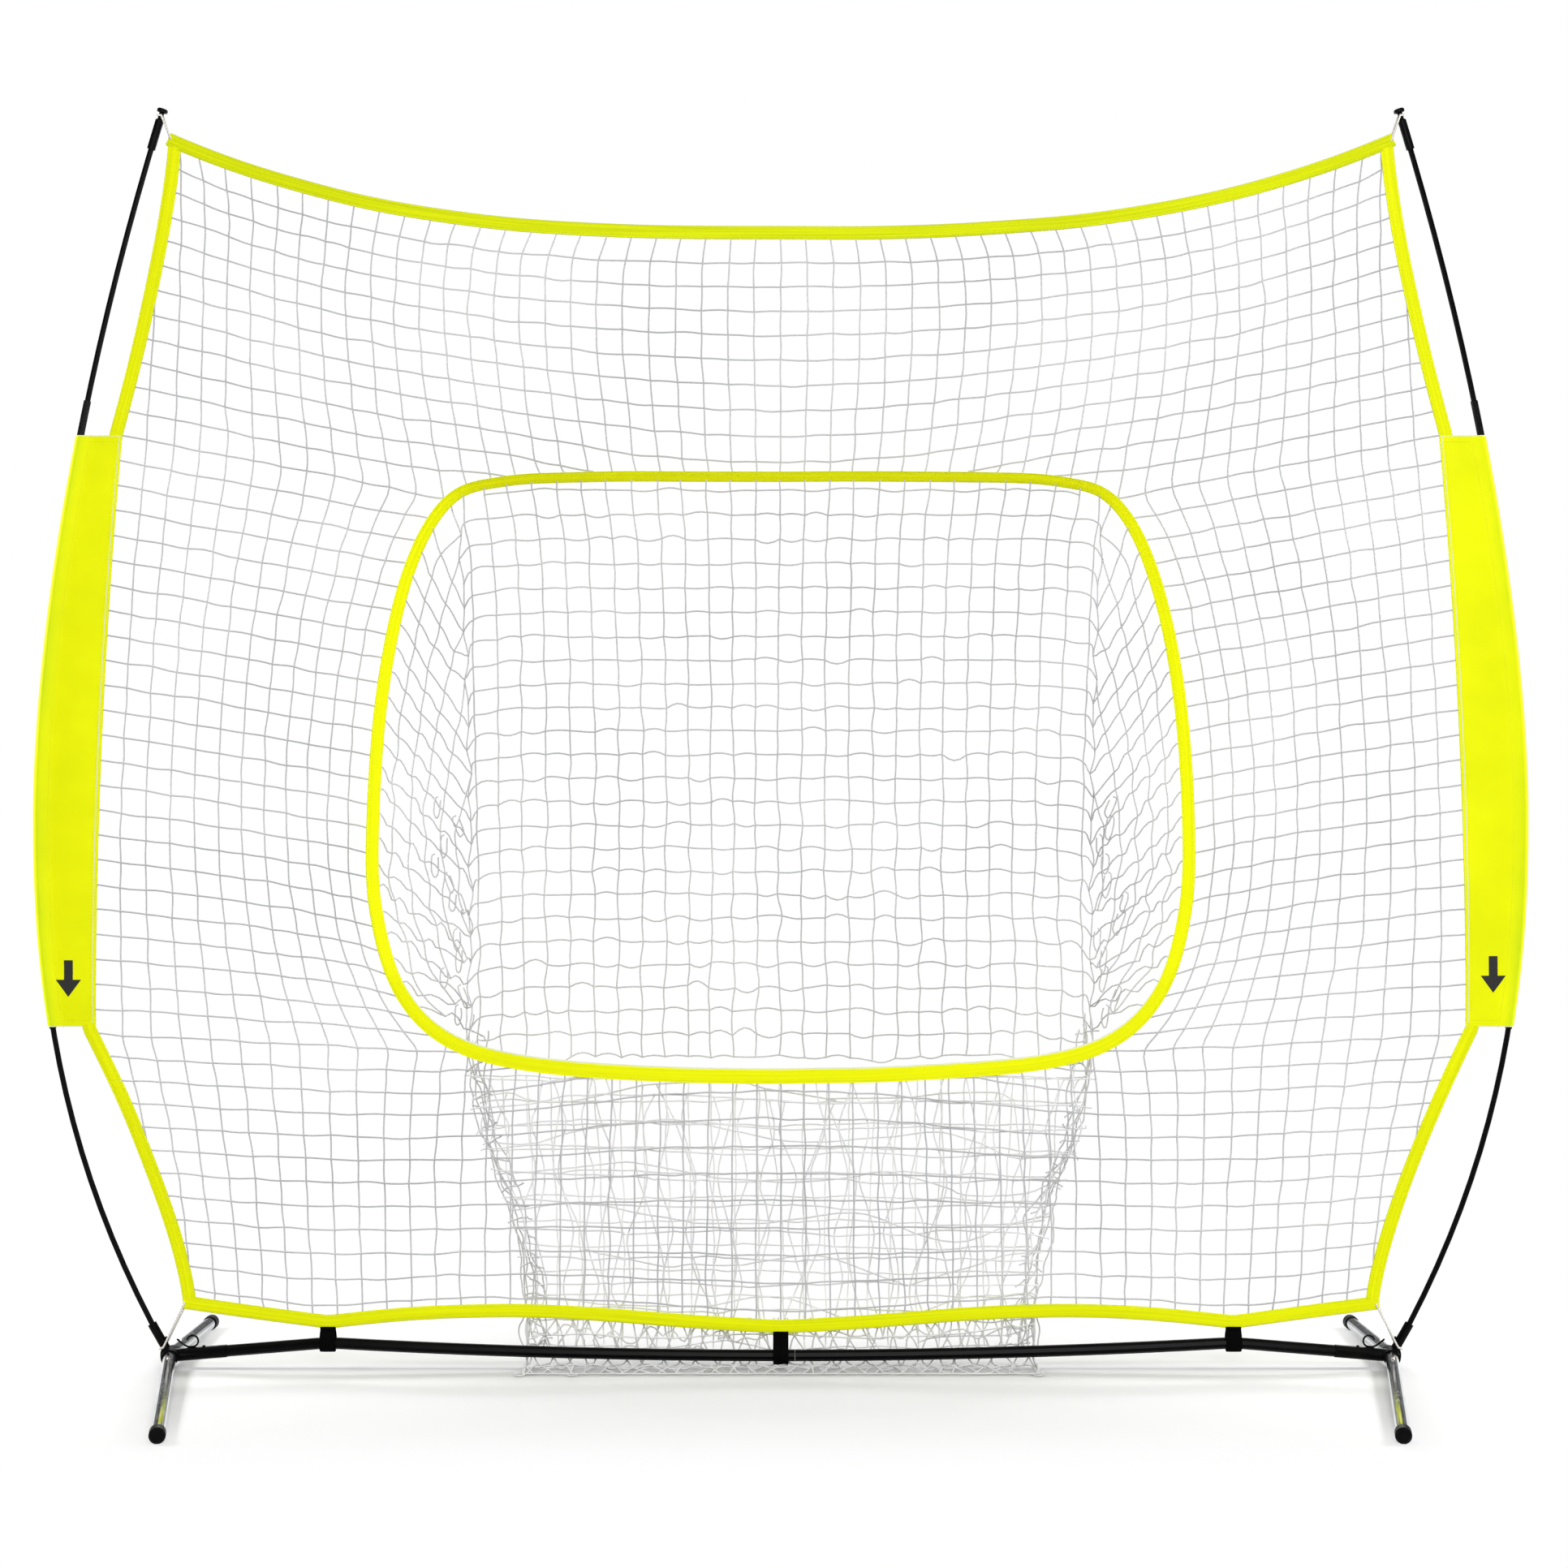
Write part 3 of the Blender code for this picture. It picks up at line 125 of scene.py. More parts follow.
def side_inner_x(z):
    """Half span of the net's side edge: the two side tapes and the sleeve between them."""
    if z > SLEEVE_TOP:
        share = min(part(z, SLEEVE_TOP, TOP_TAPE_CORNER), 1)
        return mix(TOP_CORNER_X - TAPE_WIDTH / 2, SLEEVE_INNER_TOP_X, (1 - share) ** 1.34)
    if z < SLEEVE_BOTTOM:
        share = max(part(z, BOTTOM_CORNER_HEIGHT, SLEEVE_BOTTOM), 0)
        return mix(BOTTOM_CORNER_X - TAPE_WIDTH / 2, SLEEVE_INNER_BOTTOM_X, share ** 1.35)
    return mix(SLEEVE_INNER_BOTTOM_X, SLEEVE_INNER_TOP_X, part(z, SLEEVE_BOTTOM, SLEEVE_TOP) ** 2)


def bar_z(x):
    """Height of the base bar's axis, which is bowed down in the middle."""
    if abs(x) > STRAP_HALF_SPAN:
        return HUB_HEIGHT + BAR_RISE * part(abs(x), HUB_HALF_SPAN, STRAP_HALF_SPAN)
    return HUB_HEIGHT + BAR_RISE * (abs(x) / STRAP_HALF_SPAN) ** 2


def smooth(points, steps):
    """Points along the curve that runs smoothly through the given ones."""
    points = np.asarray(points, float)
    ends = np.vstack([2 * points[0] - points[1], points, 2 * points[-1] - points[-2]])
    t = (np.arange(steps) / steps)[None, :, None]
    a, b, c, d = (ends[k:len(ends) - 3 + k, None] for k in range(4))
    curve = 0.5 * (2 * b + (c - a) * t + (2 * a - 5 * b + 4 * c - d) * t ** 2
                   + (3 * b - a - 3 * c + d) * t ** 3)
    return np.vstack([curve.reshape(-1, points.shape[1]), points[-1:]])


def unit(vectors):
    return vectors / np.linalg.norm(vectors, axis=-1, keepdims=True)


def measure(points):
    """Distance of each point from the line's start, along the line."""
    return np.concatenate([[0], np.cumsum(np.linalg.norm(np.diff(points, axis=0), axis=1))])


def along(points, marks):
    """Places at the given distances along a line."""
    points = np.asarray(points, float)
    run = measure(points)
    return np.stack([np.interp(marks, run, points[:, k]) for k in range(points.shape[1])], -1)


def evenly(points, step):
    """The same line in equal steps of about the given length."""
    length = measure(np.asarray(points, float))[-1]
    return along(points, np.linspace(0, length, max(2, round(length / step)) + 1))


RIM = smooth(RIM_OUTLINE, RIM_STEPS) * (RIM_HALF_WIDTH, RIM_TOP - RIM_BOTTOM) + (0, RIM_BOTTOM)
TOP, SIDE, BOTTOM = 0, 1, 2
RIM_PARTS = (RIM[:RIM_UPPER_CORNER + 1], RIM[RIM_UPPER_CORNER:RIM_LOWER_CORNER + 1],
             RIM[RIM_LOWER_CORNER:])


def wander(length, step, size):
    """A soft random line over a length, about size high, as a function of distance along it."""
    marks = CHANCE.normal(0, size, max(4, int(length / step) + 4))
    curve = smooth(marks[:, None], 8)[:, 0]
    return lambda run: np.interp(run / step * 8, np.arange(len(curve)), curve)


# ---- materials ------------------------------------------------------------------------------
def srgb(code):
    """A hex colour as the linear one that Blender works in."""
    parts = [int(code[k:k + 2], 16) / 255 for k in (1, 3, 5)]
    return (*[c / 12.92 if c <= 0.04045 else ((c + 0.055) / 1.055) ** 2.4 for c in parts], 1)


def wire(tree, node, inputs):
    """Set a node's sockets to values or hex colours, or link them to outputs or to a node's
    first output."""
    for key, value in inputs.items():
        if isinstance(value, bpy.types.Node):
            value = value.outputs[0]
        elif isinstance(value, str) and value.startswith("#"):
            value = srgb(value)
        if isinstance(value, bpy.types.NodeSocket):
            tree.links.new(value, node.inputs[key])
        else:
            node.inputs[key].default_value = value
    return node


def add(tree, kind, inputs=(), **settings):
    """One wired node with its settings."""
    new = tree.nodes.new(kind)
    for key, value in settings.items():
        setattr(new, key, value)
    return wire(tree, new, dict(inputs))


def calc(tree, operation, *values):
    return add(tree, "ShaderNodeMath", dict(enumerate(values)), operation=operation)


def coords(tree, kind="Object"):
    return add(tree, "ShaderNodeTexCoord").outputs[kind]


def split(tree, vector):
    return add(tree, "ShaderNodeSeparateXYZ", {"Vector": vector}).outputs


def eased(tree, value, low, high):
    """0 below a low value, 1 above a high one, and a soft step between them."""
    return add(tree, "ShaderNodeMapRange", {"Value": value, "From Min": low, "From Max": high},
               interpolation_type="SMOOTHSTEP")


def ramp(tree, share, *stops):
    """A colour ramp through (place, hex colour or grey) stops."""
    node = add(tree, "ShaderNodeValToRGB", {"Fac": share})
    elements = node.color_ramp.elements
    elements[0].position, elements[1].position = stops[0][0], stops[-1][0]
    for place, _ in stops[1:-1]:
        elements.new(place)
    for element, (_, tone) in zip(elements, stops):
        element.color = srgb(tone) if isinstance(tone, str) else (tone, tone, tone, 1)
    return node


def noise(tree, place, scale, detail=1, stretch=None):
    """Noise in grains per metre, drawn out along the axes that have a small factor."""
    if stretch:
        place = add(tree, "ShaderNodeMapping", {"Vector": place, "Scale": stretch})
    return add(tree, "ShaderNodeTexNoise", {"Vector": place, "Scale": scale, "Detail": detail})


def mottle(tree, place, scale, low, high):
    """A soft noise between two values or colours."""
    return ramp(tree, noise(tree, place, scale, 3), (0.32, low), (0.68, high))


def waves(tree, place, half, axis="X"):
    """Bands square to an axis, about one in twice the given length."""
    return add(tree, "ShaderNodeTexWave", {"Vector": place, "Scale": 1 / half / 6.283},
               bands_direction=axis).outputs["Fac"]


def blended(tree, share, first, second):
    """The first colour where the share is 0 and the second where it is 1."""
    return add(tree, "ShaderNodeMix", {0: share, 6: first, 7: second},
               data_type="RGBA").outputs[2]


def relief(tree, height, depth, strength):
    """Bump of a real depth in millimetres."""
    return add(tree, "ShaderNodeBump",
               {"Height": height, "Distance": depth * MM, "Strength": strength})


def new_material(name, **values):
    """A material, its node tree and its shader, whose sockets take plain values."""
    look = bpy.data.materials.new(name)
    look.use_nodes = True
    tree = look.node_tree
    values = {key.replace("_", " "): value for key, value in values.items()}
    return look, tree, wire(tree, tree.nodes["Principled BSDF"], values)


def finish(name, dark, pale, scale, rough, specular=0.5, metallic=0.0, grain=None, detail=1,
           stretch=None, depth=0.0, strength=1.0):
    """Two close tones in soft clouds under a fine relief. The roughness is a value, or clouds
    too, as (scale, low, high)."""
    look, tree, shader = new_material(name, Specular_IOR_Level=specular, Metallic=metallic)
    place = coords(tree)
    wire(tree, shader, {
        "Base Color": mottle(tree, place, scale, dark, pale),
        "Roughness": mottle(tree, place, *rough) if isinstance(rough, tuple) else rough})
    if grain:
        fine = noise(tree, place, grain, detail, stretch)
        wire(tree, shader, {"Normal": relief(tree, fine, depth, strength)})
    return look


def polyester_twine(name, dark, pale):
    """Knotless braided polyester: matt, off-white, its strands too fine to count."""
    return finish(name, dark, pale, 5, 0.82, 0.2, grain=900, depth=0.2, strength=0.5)


def plated_steel(name, dark, pale, low, high):
    """Bright plating on drawn tube: mirror-like, with faint drawing lines and hand marks."""
    return finish(name, dark, pale, 18, (70, low, high), metallic=1.0, grain=1500,
                  stretch=(1, 0.03, 1), depth=0.02, strength=0.25)


def grosgrain(name, dark, bright, line):
    """Ribbed polyester tape, dyed fluorescent yellow: matt, finely ribbed across, streaked
    along by its sewing, with a pale selvage. The UV map is distance along, distance across."""
    look, tree, shader = new_material(name, Roughness=0.66, Specular_IOR_Level=0.1)
    place = coords(tree, "UV")
    streaks = ramp(tree, noise(tree, place, 1.0, 2, (3, 260, 1)), (0.35, dark), (0.65, bright))
    selvage = calc(tree, "GREATER_THAN", split(tree, place)["Y"], TAPE_WIDTH / 2 - 0.7 * MM)
    # real ribs are 0.6 mm apart, drawn wider so that they show
    wire(tree, shader, {"Base Color": blended(tree, selvage, streaks, line),
                        "Normal": relief(tree, waves(tree, place, 1.2 * MM), 0.15, 0.6)})
    return look


def sleeve_polyester():
    """Plain-woven coated polyester: smooth, flat colour with cloudy tone and a fine weave. Towards
    the pole it is painted darker and olive, as painted shade where the cloth wraps round the
    pole, and its cut edges and the seam along its inner edge show pale. The UV map is distance
    up, share across to the pole."""
    look, tree, shader = new_material("sleeve_polyester", Roughness=0.62,
                                      Specular_IOR_Level=0.1)
    place = coords(tree)
    cloth = mottle(tree, place, 9, "#ECF400", "#F6FC00")
    spot = split(tree, coords(tree, "UV"))
    # painted shade: the cloth turns darker and olive towards the pole, where it wraps round it
    pole_shade = calc(tree, "MULTIPLY", eased(tree, spot["Y"], 0.72, 1.02),
                 mottle(tree, place, 4, 0.15, 0.85))
    cloth = blended(tree, pole_shade, cloth, "#BEDF18")
    half = (SLEEVE_TOP - SLEEVE_BOTTOM) / 2
    off = calc(tree, "ABSOLUTE", calc(tree, "SUBTRACT", spot["X"], half))
    pale = calc(tree, "MAXIMUM", calc(tree, "GREATER_THAN", off, half - 1.4 * MM),
                calc(tree, "COMPARE", spot["Y"], 0.05, 0.009))
    # threads are 0.5 mm apart, drawn wider
    weave = calc(tree, "MAXIMUM", *[waves(tree, place, MM, axis) for axis in ("X", "Z")])
    wire(tree, shader, {"Base Color": blended(tree, pale, cloth, "#E4E8B8"),
                        "Normal": relief(tree, weave, 0.1, 0.5)})
    return look


def braided_elastic():
    """White braided elastic cord: a crossing braid, its gaps painted darker as painted shade
    between the strands. The UV map is distance along, distance round."""
    look, tree, shader = new_material("braided_elastic", Roughness=0.72)
    place = coords(tree, "UV")
    braid = calc(tree, "MAXIMUM", *[
        waves(tree, add(tree, "ShaderNodeMapping", {"Vector": place, "Rotation": (0, 0, turn)}),
              2 * MM) for turn in (0.7, -0.7)])
    # the braid's low gaps are painted darker, as painted shade between its strands
    wire(tree, shader, {"Base Color": ramp(tree, braid, (0.0, "#B4B0A8"), (1.0, "#ECE9E2")),
                        "Normal": relief(tree, braid, 0.3, 0.8)})
    return look


def hook_and_loop_webbing():
    """Black loop-faced webbing: deep matt pile over a coarse weave."""
    look, tree, shader = new_material("hook_and_loop_webbing", Roughness=0.92,
                                      Specular_IOR_Level=0.03)
    place = coords(tree)
    pile = add(tree, "ShaderNodeTexVoronoi", {"Vector": place, "Scale": 900})
    wire(tree, shader, {"Base Color": mottle(tree, place, 900, "#030303", "#0C0C0C"),
                        "Normal": relief(tree, pile, 0.5, 0.7)})
    return look


# one twine in three tones for light and shade: the main net's greyer as painted shade, the pocket's
# paler as painted light, and the hem's on the floor greyer as painted shadow under the bar
TWINE = polyester_twine("net_twine_painted_shade", "#B8B8BA", "#D2D2D2")
POCKET_TWINE_PAINTED_LIGHT = polyester_twine("pocket_twine_painted_light", "#DEDEDE", "#F0F0F0")
HEM_TWINE_PAINTED_SHADE = polyester_twine("hem_twine_painted_shade", "#CECECE", "#E4E4E4")
TAPE = grosgrain("edge_grosgrain", "#E2EA00", "#F2F800", "#E2E6C4")
# the top tape is the same tape painted darker, as painted shade
TOP_TAPE = grosgrain("top_edge_grosgrain_painted_shade", "#CCD800", "#E2EC00", "#D6DABA")
# the mouth's tape is the same tape painted paler, as painted light
MOUTH_TAPE_PAINTED_LIGHT = grosgrain("mouth_grosgrain_painted_light", "#EDF300", "#F8FC00", "#E0E4C0")
SLEEVE = sleeve_polyester()
# yellow sewing thread, a shade deeper than the tape that it sinks into
THREAD = finish("polyester_thread", "#D3DC10", "#E2EA20", 40, 0.7)
# black pultruded rod: a satin resin skin with faint lengthwise fibres
FIBREGLASS = finish("pultruded_fibreglass", "#030303", "#080808", 60, 0.36, 0.05, grain=1800,
                    stretch=(1, 1, 0.04), depth=0.05, strength=0.4)
# black powder coat on steel tube: satin-gloss with a fine orange peel
POWDER_COAT = finish("powder_coated_steel", "#020202", "#070707", 45, 0.28, 0.06, grain=650,
                     depth=0.06, strength=0.5)
# blackened steel sleeve: a little paler and glossier than the rods
FERRULE = finish("blackened_ferrule_steel", "#040404", "#0C0C0C", 120, (300, 0.28, 0.42), 0.09)
CHROME = plated_steel("chrome_plate", "#C4C6C9", "#E0E2E4", 0.10, 0.17)
NICKEL = plated_steel("nickel_plate", "#B9B5AC", "#D8D4CC", 0.16, 0.26)
# plastisol-dipped cap: black, soft-looking, slightly uneven skin
VINYL = finish("dipped_vinyl", "#040404", "#0B0B0B", 50, 0.42, 0.06, grain=220, detail=2,
               depth=0.15, strength=0.4)
WEBBING = hook_and_loop_webbing()
ELASTIC = braided_elastic()
# black screen-printing ink on cloth: matt, with the weave's tone in it
INK = finish("screen_ink", "#0A0A0A", "#1A1A18", 500, 0.7)


# ---- making meshes --------------------------------------------------------------------------
def new_object(name, data):
    thing = bpy.data.objects.new(name, data)
    bpy.context.scene.collection.objects.link(thing)
    return thing


def make_piece(name, data, look, nodes=()):
    """A finished piece on the root body, with its finish and the CAD nodes it stands for."""
    thing = new_object(name, data)
    if look:
        data.materials.append(look)
    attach(thing, "root")
    if nodes:
        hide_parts(*nodes)
    return thing


def ring_faces(sides, count, looped=False):
    """Quads between each ring of vertices and the next."""
    faces = []
    for k in range(count if looped else count - 1):
        a, b = k * sides, (k + 1) % count * sides
        faces += [(a + m, a + (m + 1) % sides, b + (m + 1) % sides, b + m) for m in range(sides)]
    return faces


def skin_mesh(name, places, faces, uv_name, uv_place):
    """A smooth closed mesh, its normals outward, its UV map given for a face and a vertex."""
    data = bpy.data.meshes.new(name)
    data.from_pydata(places.tolist(), [], faces)
    uv = data.uv_layers.new(name=uv_name).uv
    for face in data.polygons:
        for loop, vertex in zip(face.loop_indices, face.vertices):
            uv[loop].vector = uv_place(face, vertex)
    bm = bmesh.new()
    bm.from_mesh(data)
    bmesh.ops.recalc_face_normals(bm, faces=bm.faces)
    bm.to_mesh(data)
    bm.free()
    data.shade_smooth()
    return data


def swept(name, line, outward, facing, section, looped=False, across=None):
    """A thin-walled strip: a section carried along a line.

    The section is a wall's middle line as (outward, facing, wall) rows, one set for all of the
    line or one for each of its points. Its UV map is distance along, and distance outward or
    the given values across.
    """
    count = len(line)
    outward, facing = (np.broadcast_to(way, line.shape) for way in (outward, facing))
    section = np.asarray(section, float)
    if section.ndim == 2:
        section = np.repeat(section[None], count, 0)
    run = unit(np.gradient(section[..., :2], axis=1))
    offset = np.stack([-run[..., 1], run[..., 0]], -1) * (section[..., 2:] / 2)
    ring = np.concatenate([section[..., :2] + offset, (section[..., :2] - offset)[:, ::-1]], 1)
    places = line[:, None] + ring[..., :1] * outward[:, None] + ring[..., 1:] * facing[:, None]
    sides = ring.shape[1]
    spread = ring[..., 0] if across is None else np.hstack([across, across[:, ::-1]])
    faces = ring_faces(sides, count, looped)
    distance = measure(line)
    if looped:
        distance = np.append(distance, distance[-1] + np.linalg.norm(line[-1] - line[0]))
    else:
        for start in (0, (count - 1) * sides):
            faces += [(start + m, start + m + 1, start + sides - 2 - m, start + sides - 1 - m)
                      for m in range(sides // 2 - 1)]

    def uv_place(face, vertex):
        station, mark = divmod(vertex, sides)
        if looped and station == 0 and face.index // sides == count - 1:
            station = count
        return distance[station], spread[station % count, mark]

    data = skin_mesh(name, places.reshape(-1, 3), faces, "cloth", uv_place)
    data.set_sharp_from_angle(angle=math.radians(50))
    return data


def cord_mesh(name, line, radius, sides):
    """A round cord along a line, its ends domed shut. Its UV map is distance along and round."""
    run = unit(np.gradient(line, axis=0))
    side = np.cross(run[0], (0.31, 0.87, 0.38))
    turns = np.arange(sides) / sides * 2 * math.pi
    rings = []
    for place, way in zip(line, run):
        side = unit(side - way * side.dot(way))
        up = np.cross(way, side)
        rings.append(place + radius * (np.outer(np.cos(turns), side) + np.outer(np.sin(turns), up)))
    dome = radius * 0.6
    places = np.vstack(rings + [line[:1] - run[0] * dome, line[-1:] + run[-1] * dome])
    count = len(line) * sides
    last = count - sides
    faces = ring_faces(sides, len(line))
    faces += [(count, (m + 1) % sides, m) for m in range(sides)]
    faces += [(count + 1, last + m, last + (m + 1) % sides) for m in range(sides)]
    distance = np.append(np.repeat(measure(line), sides), [0, measure(line)[-1]])

    def uv_place(face, vertex):
        closing = vertex % sides == 0 and max(v % sides for v in face.vertices) == sides - 1
        around = sides if closing else vertex % sides
        return distance[vertex], around / sides * 2 * math.pi * radius

    return skin_mesh(name, places, faces, "braid", uv_place)


def geometry_tree(name, **inputs):
    """An empty Geometry Nodes tree with named inputs, and its input node's outputs."""
    tree = bpy.data.node_groups.new(name, "GeometryNodeTree")
    for label, kind in {"Lines": "Geometry", **inputs, "Look": "Material"}.items():
        tree.interface.new_socket(label.replace("_", " "), in_out="INPUT",
                                  socket_type="NodeSocket" + kind)
    tree.interface.new_socket("Pieces", in_out="OUTPUT", socket_type="NodeSocketGeometry")
    return tree, add(tree, "NodeGroupInput").outputs


def finish_tree(tree, geometry, look):
    """Smooth, real and painted geometry as the tree's result."""
    real = add(tree, "GeometryNodeRealizeInstances", {"Geometry": geometry})
    soft = add(tree, "GeometryNodeSetShadeSmooth", {"Geometry": real})
    painted = add(tree, "GeometryNodeSetMaterial", {"Geometry": soft, "Material": look})
    add(tree, "NodeGroupOutput", {"Pieces": painted})
    return tree


def netting_tree():
    """Twine along every line of the mesh, and a small knot at every marked point."""
    tree, given = geometry_tree("netting", Twine_radius="Float", Knot_radius="Float")
    line = add(tree, "GeometryNodeMeshToCurve", {"Mesh": given["Lines"]})
    ring = add(tree, "GeometryNodeCurvePrimitiveCircle",
               {"Resolution": 5, "Radius": given["Twine radius"]})
    twine = add(tree, "GeometryNodeCurveToMesh",
                {"Curve": line, "Profile Curve": ring, "Fill Caps": True})
    marked = add(tree, "GeometryNodeInputNamedAttribute", {"Name": "knot"}, data_type="BOOLEAN")
    ball = add(tree, "GeometryNodeMeshIcoSphere",
               {"Radius": given["Knot radius"], "Subdivisions": 1})
    knots = add(tree, "GeometryNodeInstanceOnPoints",
                {"Points": given["Lines"], "Selection": marked.outputs["Attribute"],
                 "Instance": ball})
    both = add(tree, "GeometryNodeJoinGeometry", {"Geometry": knots})
    wire(tree, both, {"Geometry": twine})
    return finish_tree(tree, both, given["Look"])


def stitching_tree():
    """Short threads laid end to end along every line of the mesh."""
    tree, given = geometry_tree("stitching", Stitch_spacing="Float", Thread_size="Vector")
    line = add(tree, "GeometryNodeMeshToCurve", {"Mesh": given["Lines"]})
    marks = add(tree, "GeometryNodeCurveToPoints",
                {"Curve": line, "Length": given["Stitch spacing"]}, mode="LENGTH")
    thread = add(tree, "GeometryNodeMeshUVSphere", {"Segments": 5, "Rings": 3, "Radius": 0.5})
    stitches = add(tree, "GeometryNodeInstanceOnPoints",
                   {"Points": marks, "Instance": thread, "Rotation": marks.outputs["Rotation"],
                    "Scale": given["Thread size"]})
    return finish_tree(tree, stitches, given["Look"])


NETTING = netting_tree()
STITCHING = stitching_tree()


def grown(name, tree, lines, settings, nodes=()):
    """A piece that a Geometry Nodes tree grows along lines of (places, marks or one mark)."""
    data = bpy.data.meshes.new(name + "_lines")
    places, edges, marks = [], [], []
    for line, marked in lines:
        start = len(places)
        places += [tuple(p) for p in line]
        marks += list(np.broadcast_to(marked, len(line)))
        edges += [(start + k, start + k + 1) for k in range(len(line) - 1)]
    data.from_pydata(places, edges, [])
    data.attributes.new("knot", "BOOLEAN", "POINT").data.foreach_set("value", marks)
    source = new_object(name + "_lines", data)
    modifier = source.modifiers.new(name, "NODES")
    modifier.node_group = tree
    for item in tree.interface.items_tree:
        if item.in_out == "INPUT" and item.name in settings:
            modifier[item.identifier] = settings[item.name]
    bpy.context.view_layer.update()
    result = source.evaluated_get(bpy.context.evaluated_depsgraph_get())
    grown_data = bpy.data.meshes.new_from_object(result)
    grown_data.name = name
    bpy.data.objects.remove(source)
    return make_piece(name, grown_data, None, nodes)


def stitched(name, lines):
    """Rows of lockstitch along lines that lie on the cloth."""
    return grown(name, STITCHING, [(line, False) for line in lines], {
        "Stitch spacing": 5.5 * MM, "Thread size": (0.7 * MM, 0.7 * MM, 4.2 * MM),
        "Look": THREAD})


# ---- tapes ----------------------------------------------------------------------------------
TAPE_HALF_DEPTH = 1.75 * MM
TAPE_WALL = 0.6 * MM
TAPE_STEP = 0.011
STITCH_INSET = 3.2 * MM


def fold_section(half_depth):
    """Middle line of a tape folded in half over the net's edge, from lip to lip."""
    lip, turn = -TAPE_WIDTH / 2, TAPE_WIDTH / 2 - half_depth
    flank = [(lip, -half_depth * 0.86), (lip + TAPE_WIDTH * 0.10, -half_depth * 0.72),
             (lip + TAPE_WIDTH * 0.20, -half_depth * 0.96), (0, -half_depth),
             (turn - TAPE_WIDTH * 0.14, -half_depth * 0.94), (turn, -half_depth * 0.84),
             (turn + half_depth * 0.62, -half_depth * 0.56), (TAPE_WIDTH / 2 - 0.3 * MM, 0)]
    return np.array([(a, b, TAPE_WALL) for a, b in flank + [(a, -b) for a, b in flank[-2::-1]]])


def folded_tape(name, line, turn, look, node, half_depth=TAPE_HALF_DEPTH, looped=False):
    """A tape along a flat line, its fold on the line's left (turn 1) or right (turn -1). Round
    the mouth, the pocket's pull tips its fold back at the top and sides, and spreads it below."""
    line = np.array([(x, NET_Y, z) for x, z in evenly(line, TAPE_STEP)])
    if looped:
        line = line[:-1]
        way = np.roll(line, -1, 0) - np.roll(line, 1, 0)
    else:
        way = np.gradient(line, axis=0)
    way = unit(way)
    outward = np.stack([-way[:, 2], np.zeros(len(line)), way[:, 0]], 1) * turn
    facing = np.array((0.0, 1.0, 0.0))
    run = measure(line)
    ease = np.minimum(1, np.minimum(run, run[-1] - run) / 0.1) if looped else 1
    line = line + outward * (wander(run[-1], 0.12, 0.35 * MM)(run) * ease)[:, None]
    puff = 1 + wander(run[-1], 0.03, 0.05)(run) * ease
    sections = np.repeat(fold_section(half_depth)[None], len(line), 0)
    sections[:, :, 1] *= puff[:, None]
    seen = np.ones(len(line))
    if looped:
        seen = np.interp(outward[:, 2], (-1, 0, 1), (0.62, 0.86, 1.18))
    tip, spread = np.arccos(np.minimum(seen, 1)), np.maximum(seen, 1)

    def tipped(across, deep):
        across = across * spread
        return across * np.cos(tip) - deep * np.sin(tip), across * np.sin(tip) + deep * np.cos(tip)

    sections[..., :2] = np.stack(tipped(sections[..., 0].T, sections[..., 1].T), -1).swapaxes(0, 1)
    tape = make_piece(name, swept(name, line, outward, facing, sections, looped), look,
                      [node])
    rows = []
    for inset in (STITCH_INSET - TAPE_WIDTH / 2, TAPE_WIDTH / 2 - STITCH_INSET * 1.3):
        for face in (-1, 1):
            across, deep = tipped(inset, face * (half_depth * 0.93 + TAPE_WALL / 2))
            row = line + outward * across[:, None] + facing * deep[:, None]
            rows.append(np.vstack([row, row[:1]]) if looped else row)
    seam = stitched(name + "_stitching", rows)


def make_tapes():
    for place, corner, height, turn, look in (
        ("top", TOP_CORNER_X, top_tape_z, 1, TOP_TAPE),
        ("bottom", BOTTOM_CORNER_X, bottom_tape_z, -1, TAPE),
    ):
        reach = corner + TAPE_WIDTH / 2
        folded_tape(f"edge_tape_{place}", [(x, height(x)) for x in np.linspace(-reach, reach, 160)],
                    turn, look, f"{place}_tape")
    for side, word in SIDES:
        for place, low_z, high_z in (("upper", SLEEVE_TOP - 0.004, 2.066),
                                     ("lower", 0.112, SLEEVE_BOTTOM + 0.004)):
            line = [(side * (side_inner_x(z) + TAPE_WIDTH / 2), z)
                    for z in np.linspace(low_z, high_z, 60)]
            folded_tape(f"edge_tape_{place}_{word}", line, -side, TAPE,
                        f"{place}_side_tape_{word}", half_depth=TAPE_HALF_DEPTH * 0.86)
    ring = np.vstack([RIM, RIM[-2::-1] * (-1, 1)])
    folded_tape("mouth_tape", ring, -1, MOUTH_TAPE_PAINTED_LIGHT, "pocket_rim", looped=True)


# ---- sleeves --------------------------------------------------------------------------------
SLEEVE_CLOTH = 0.7 * MM
SLEEVE_RING = FERRULE_RADIUS + 1.1 * MM
HEM = 0.013                  # height of the sleeve's doubled ends
BILLOW = 0.9 * MM
ARROW_X, ARROW_TOP, ARROW_BOTTOM = 1.2035, 0.690, 0.628


def sleeve_near_x(z):
    """Where the sleeve's flat cloth opens round the pole."""
    return pole_x(z) - 2.4 * SLEEVE_RING


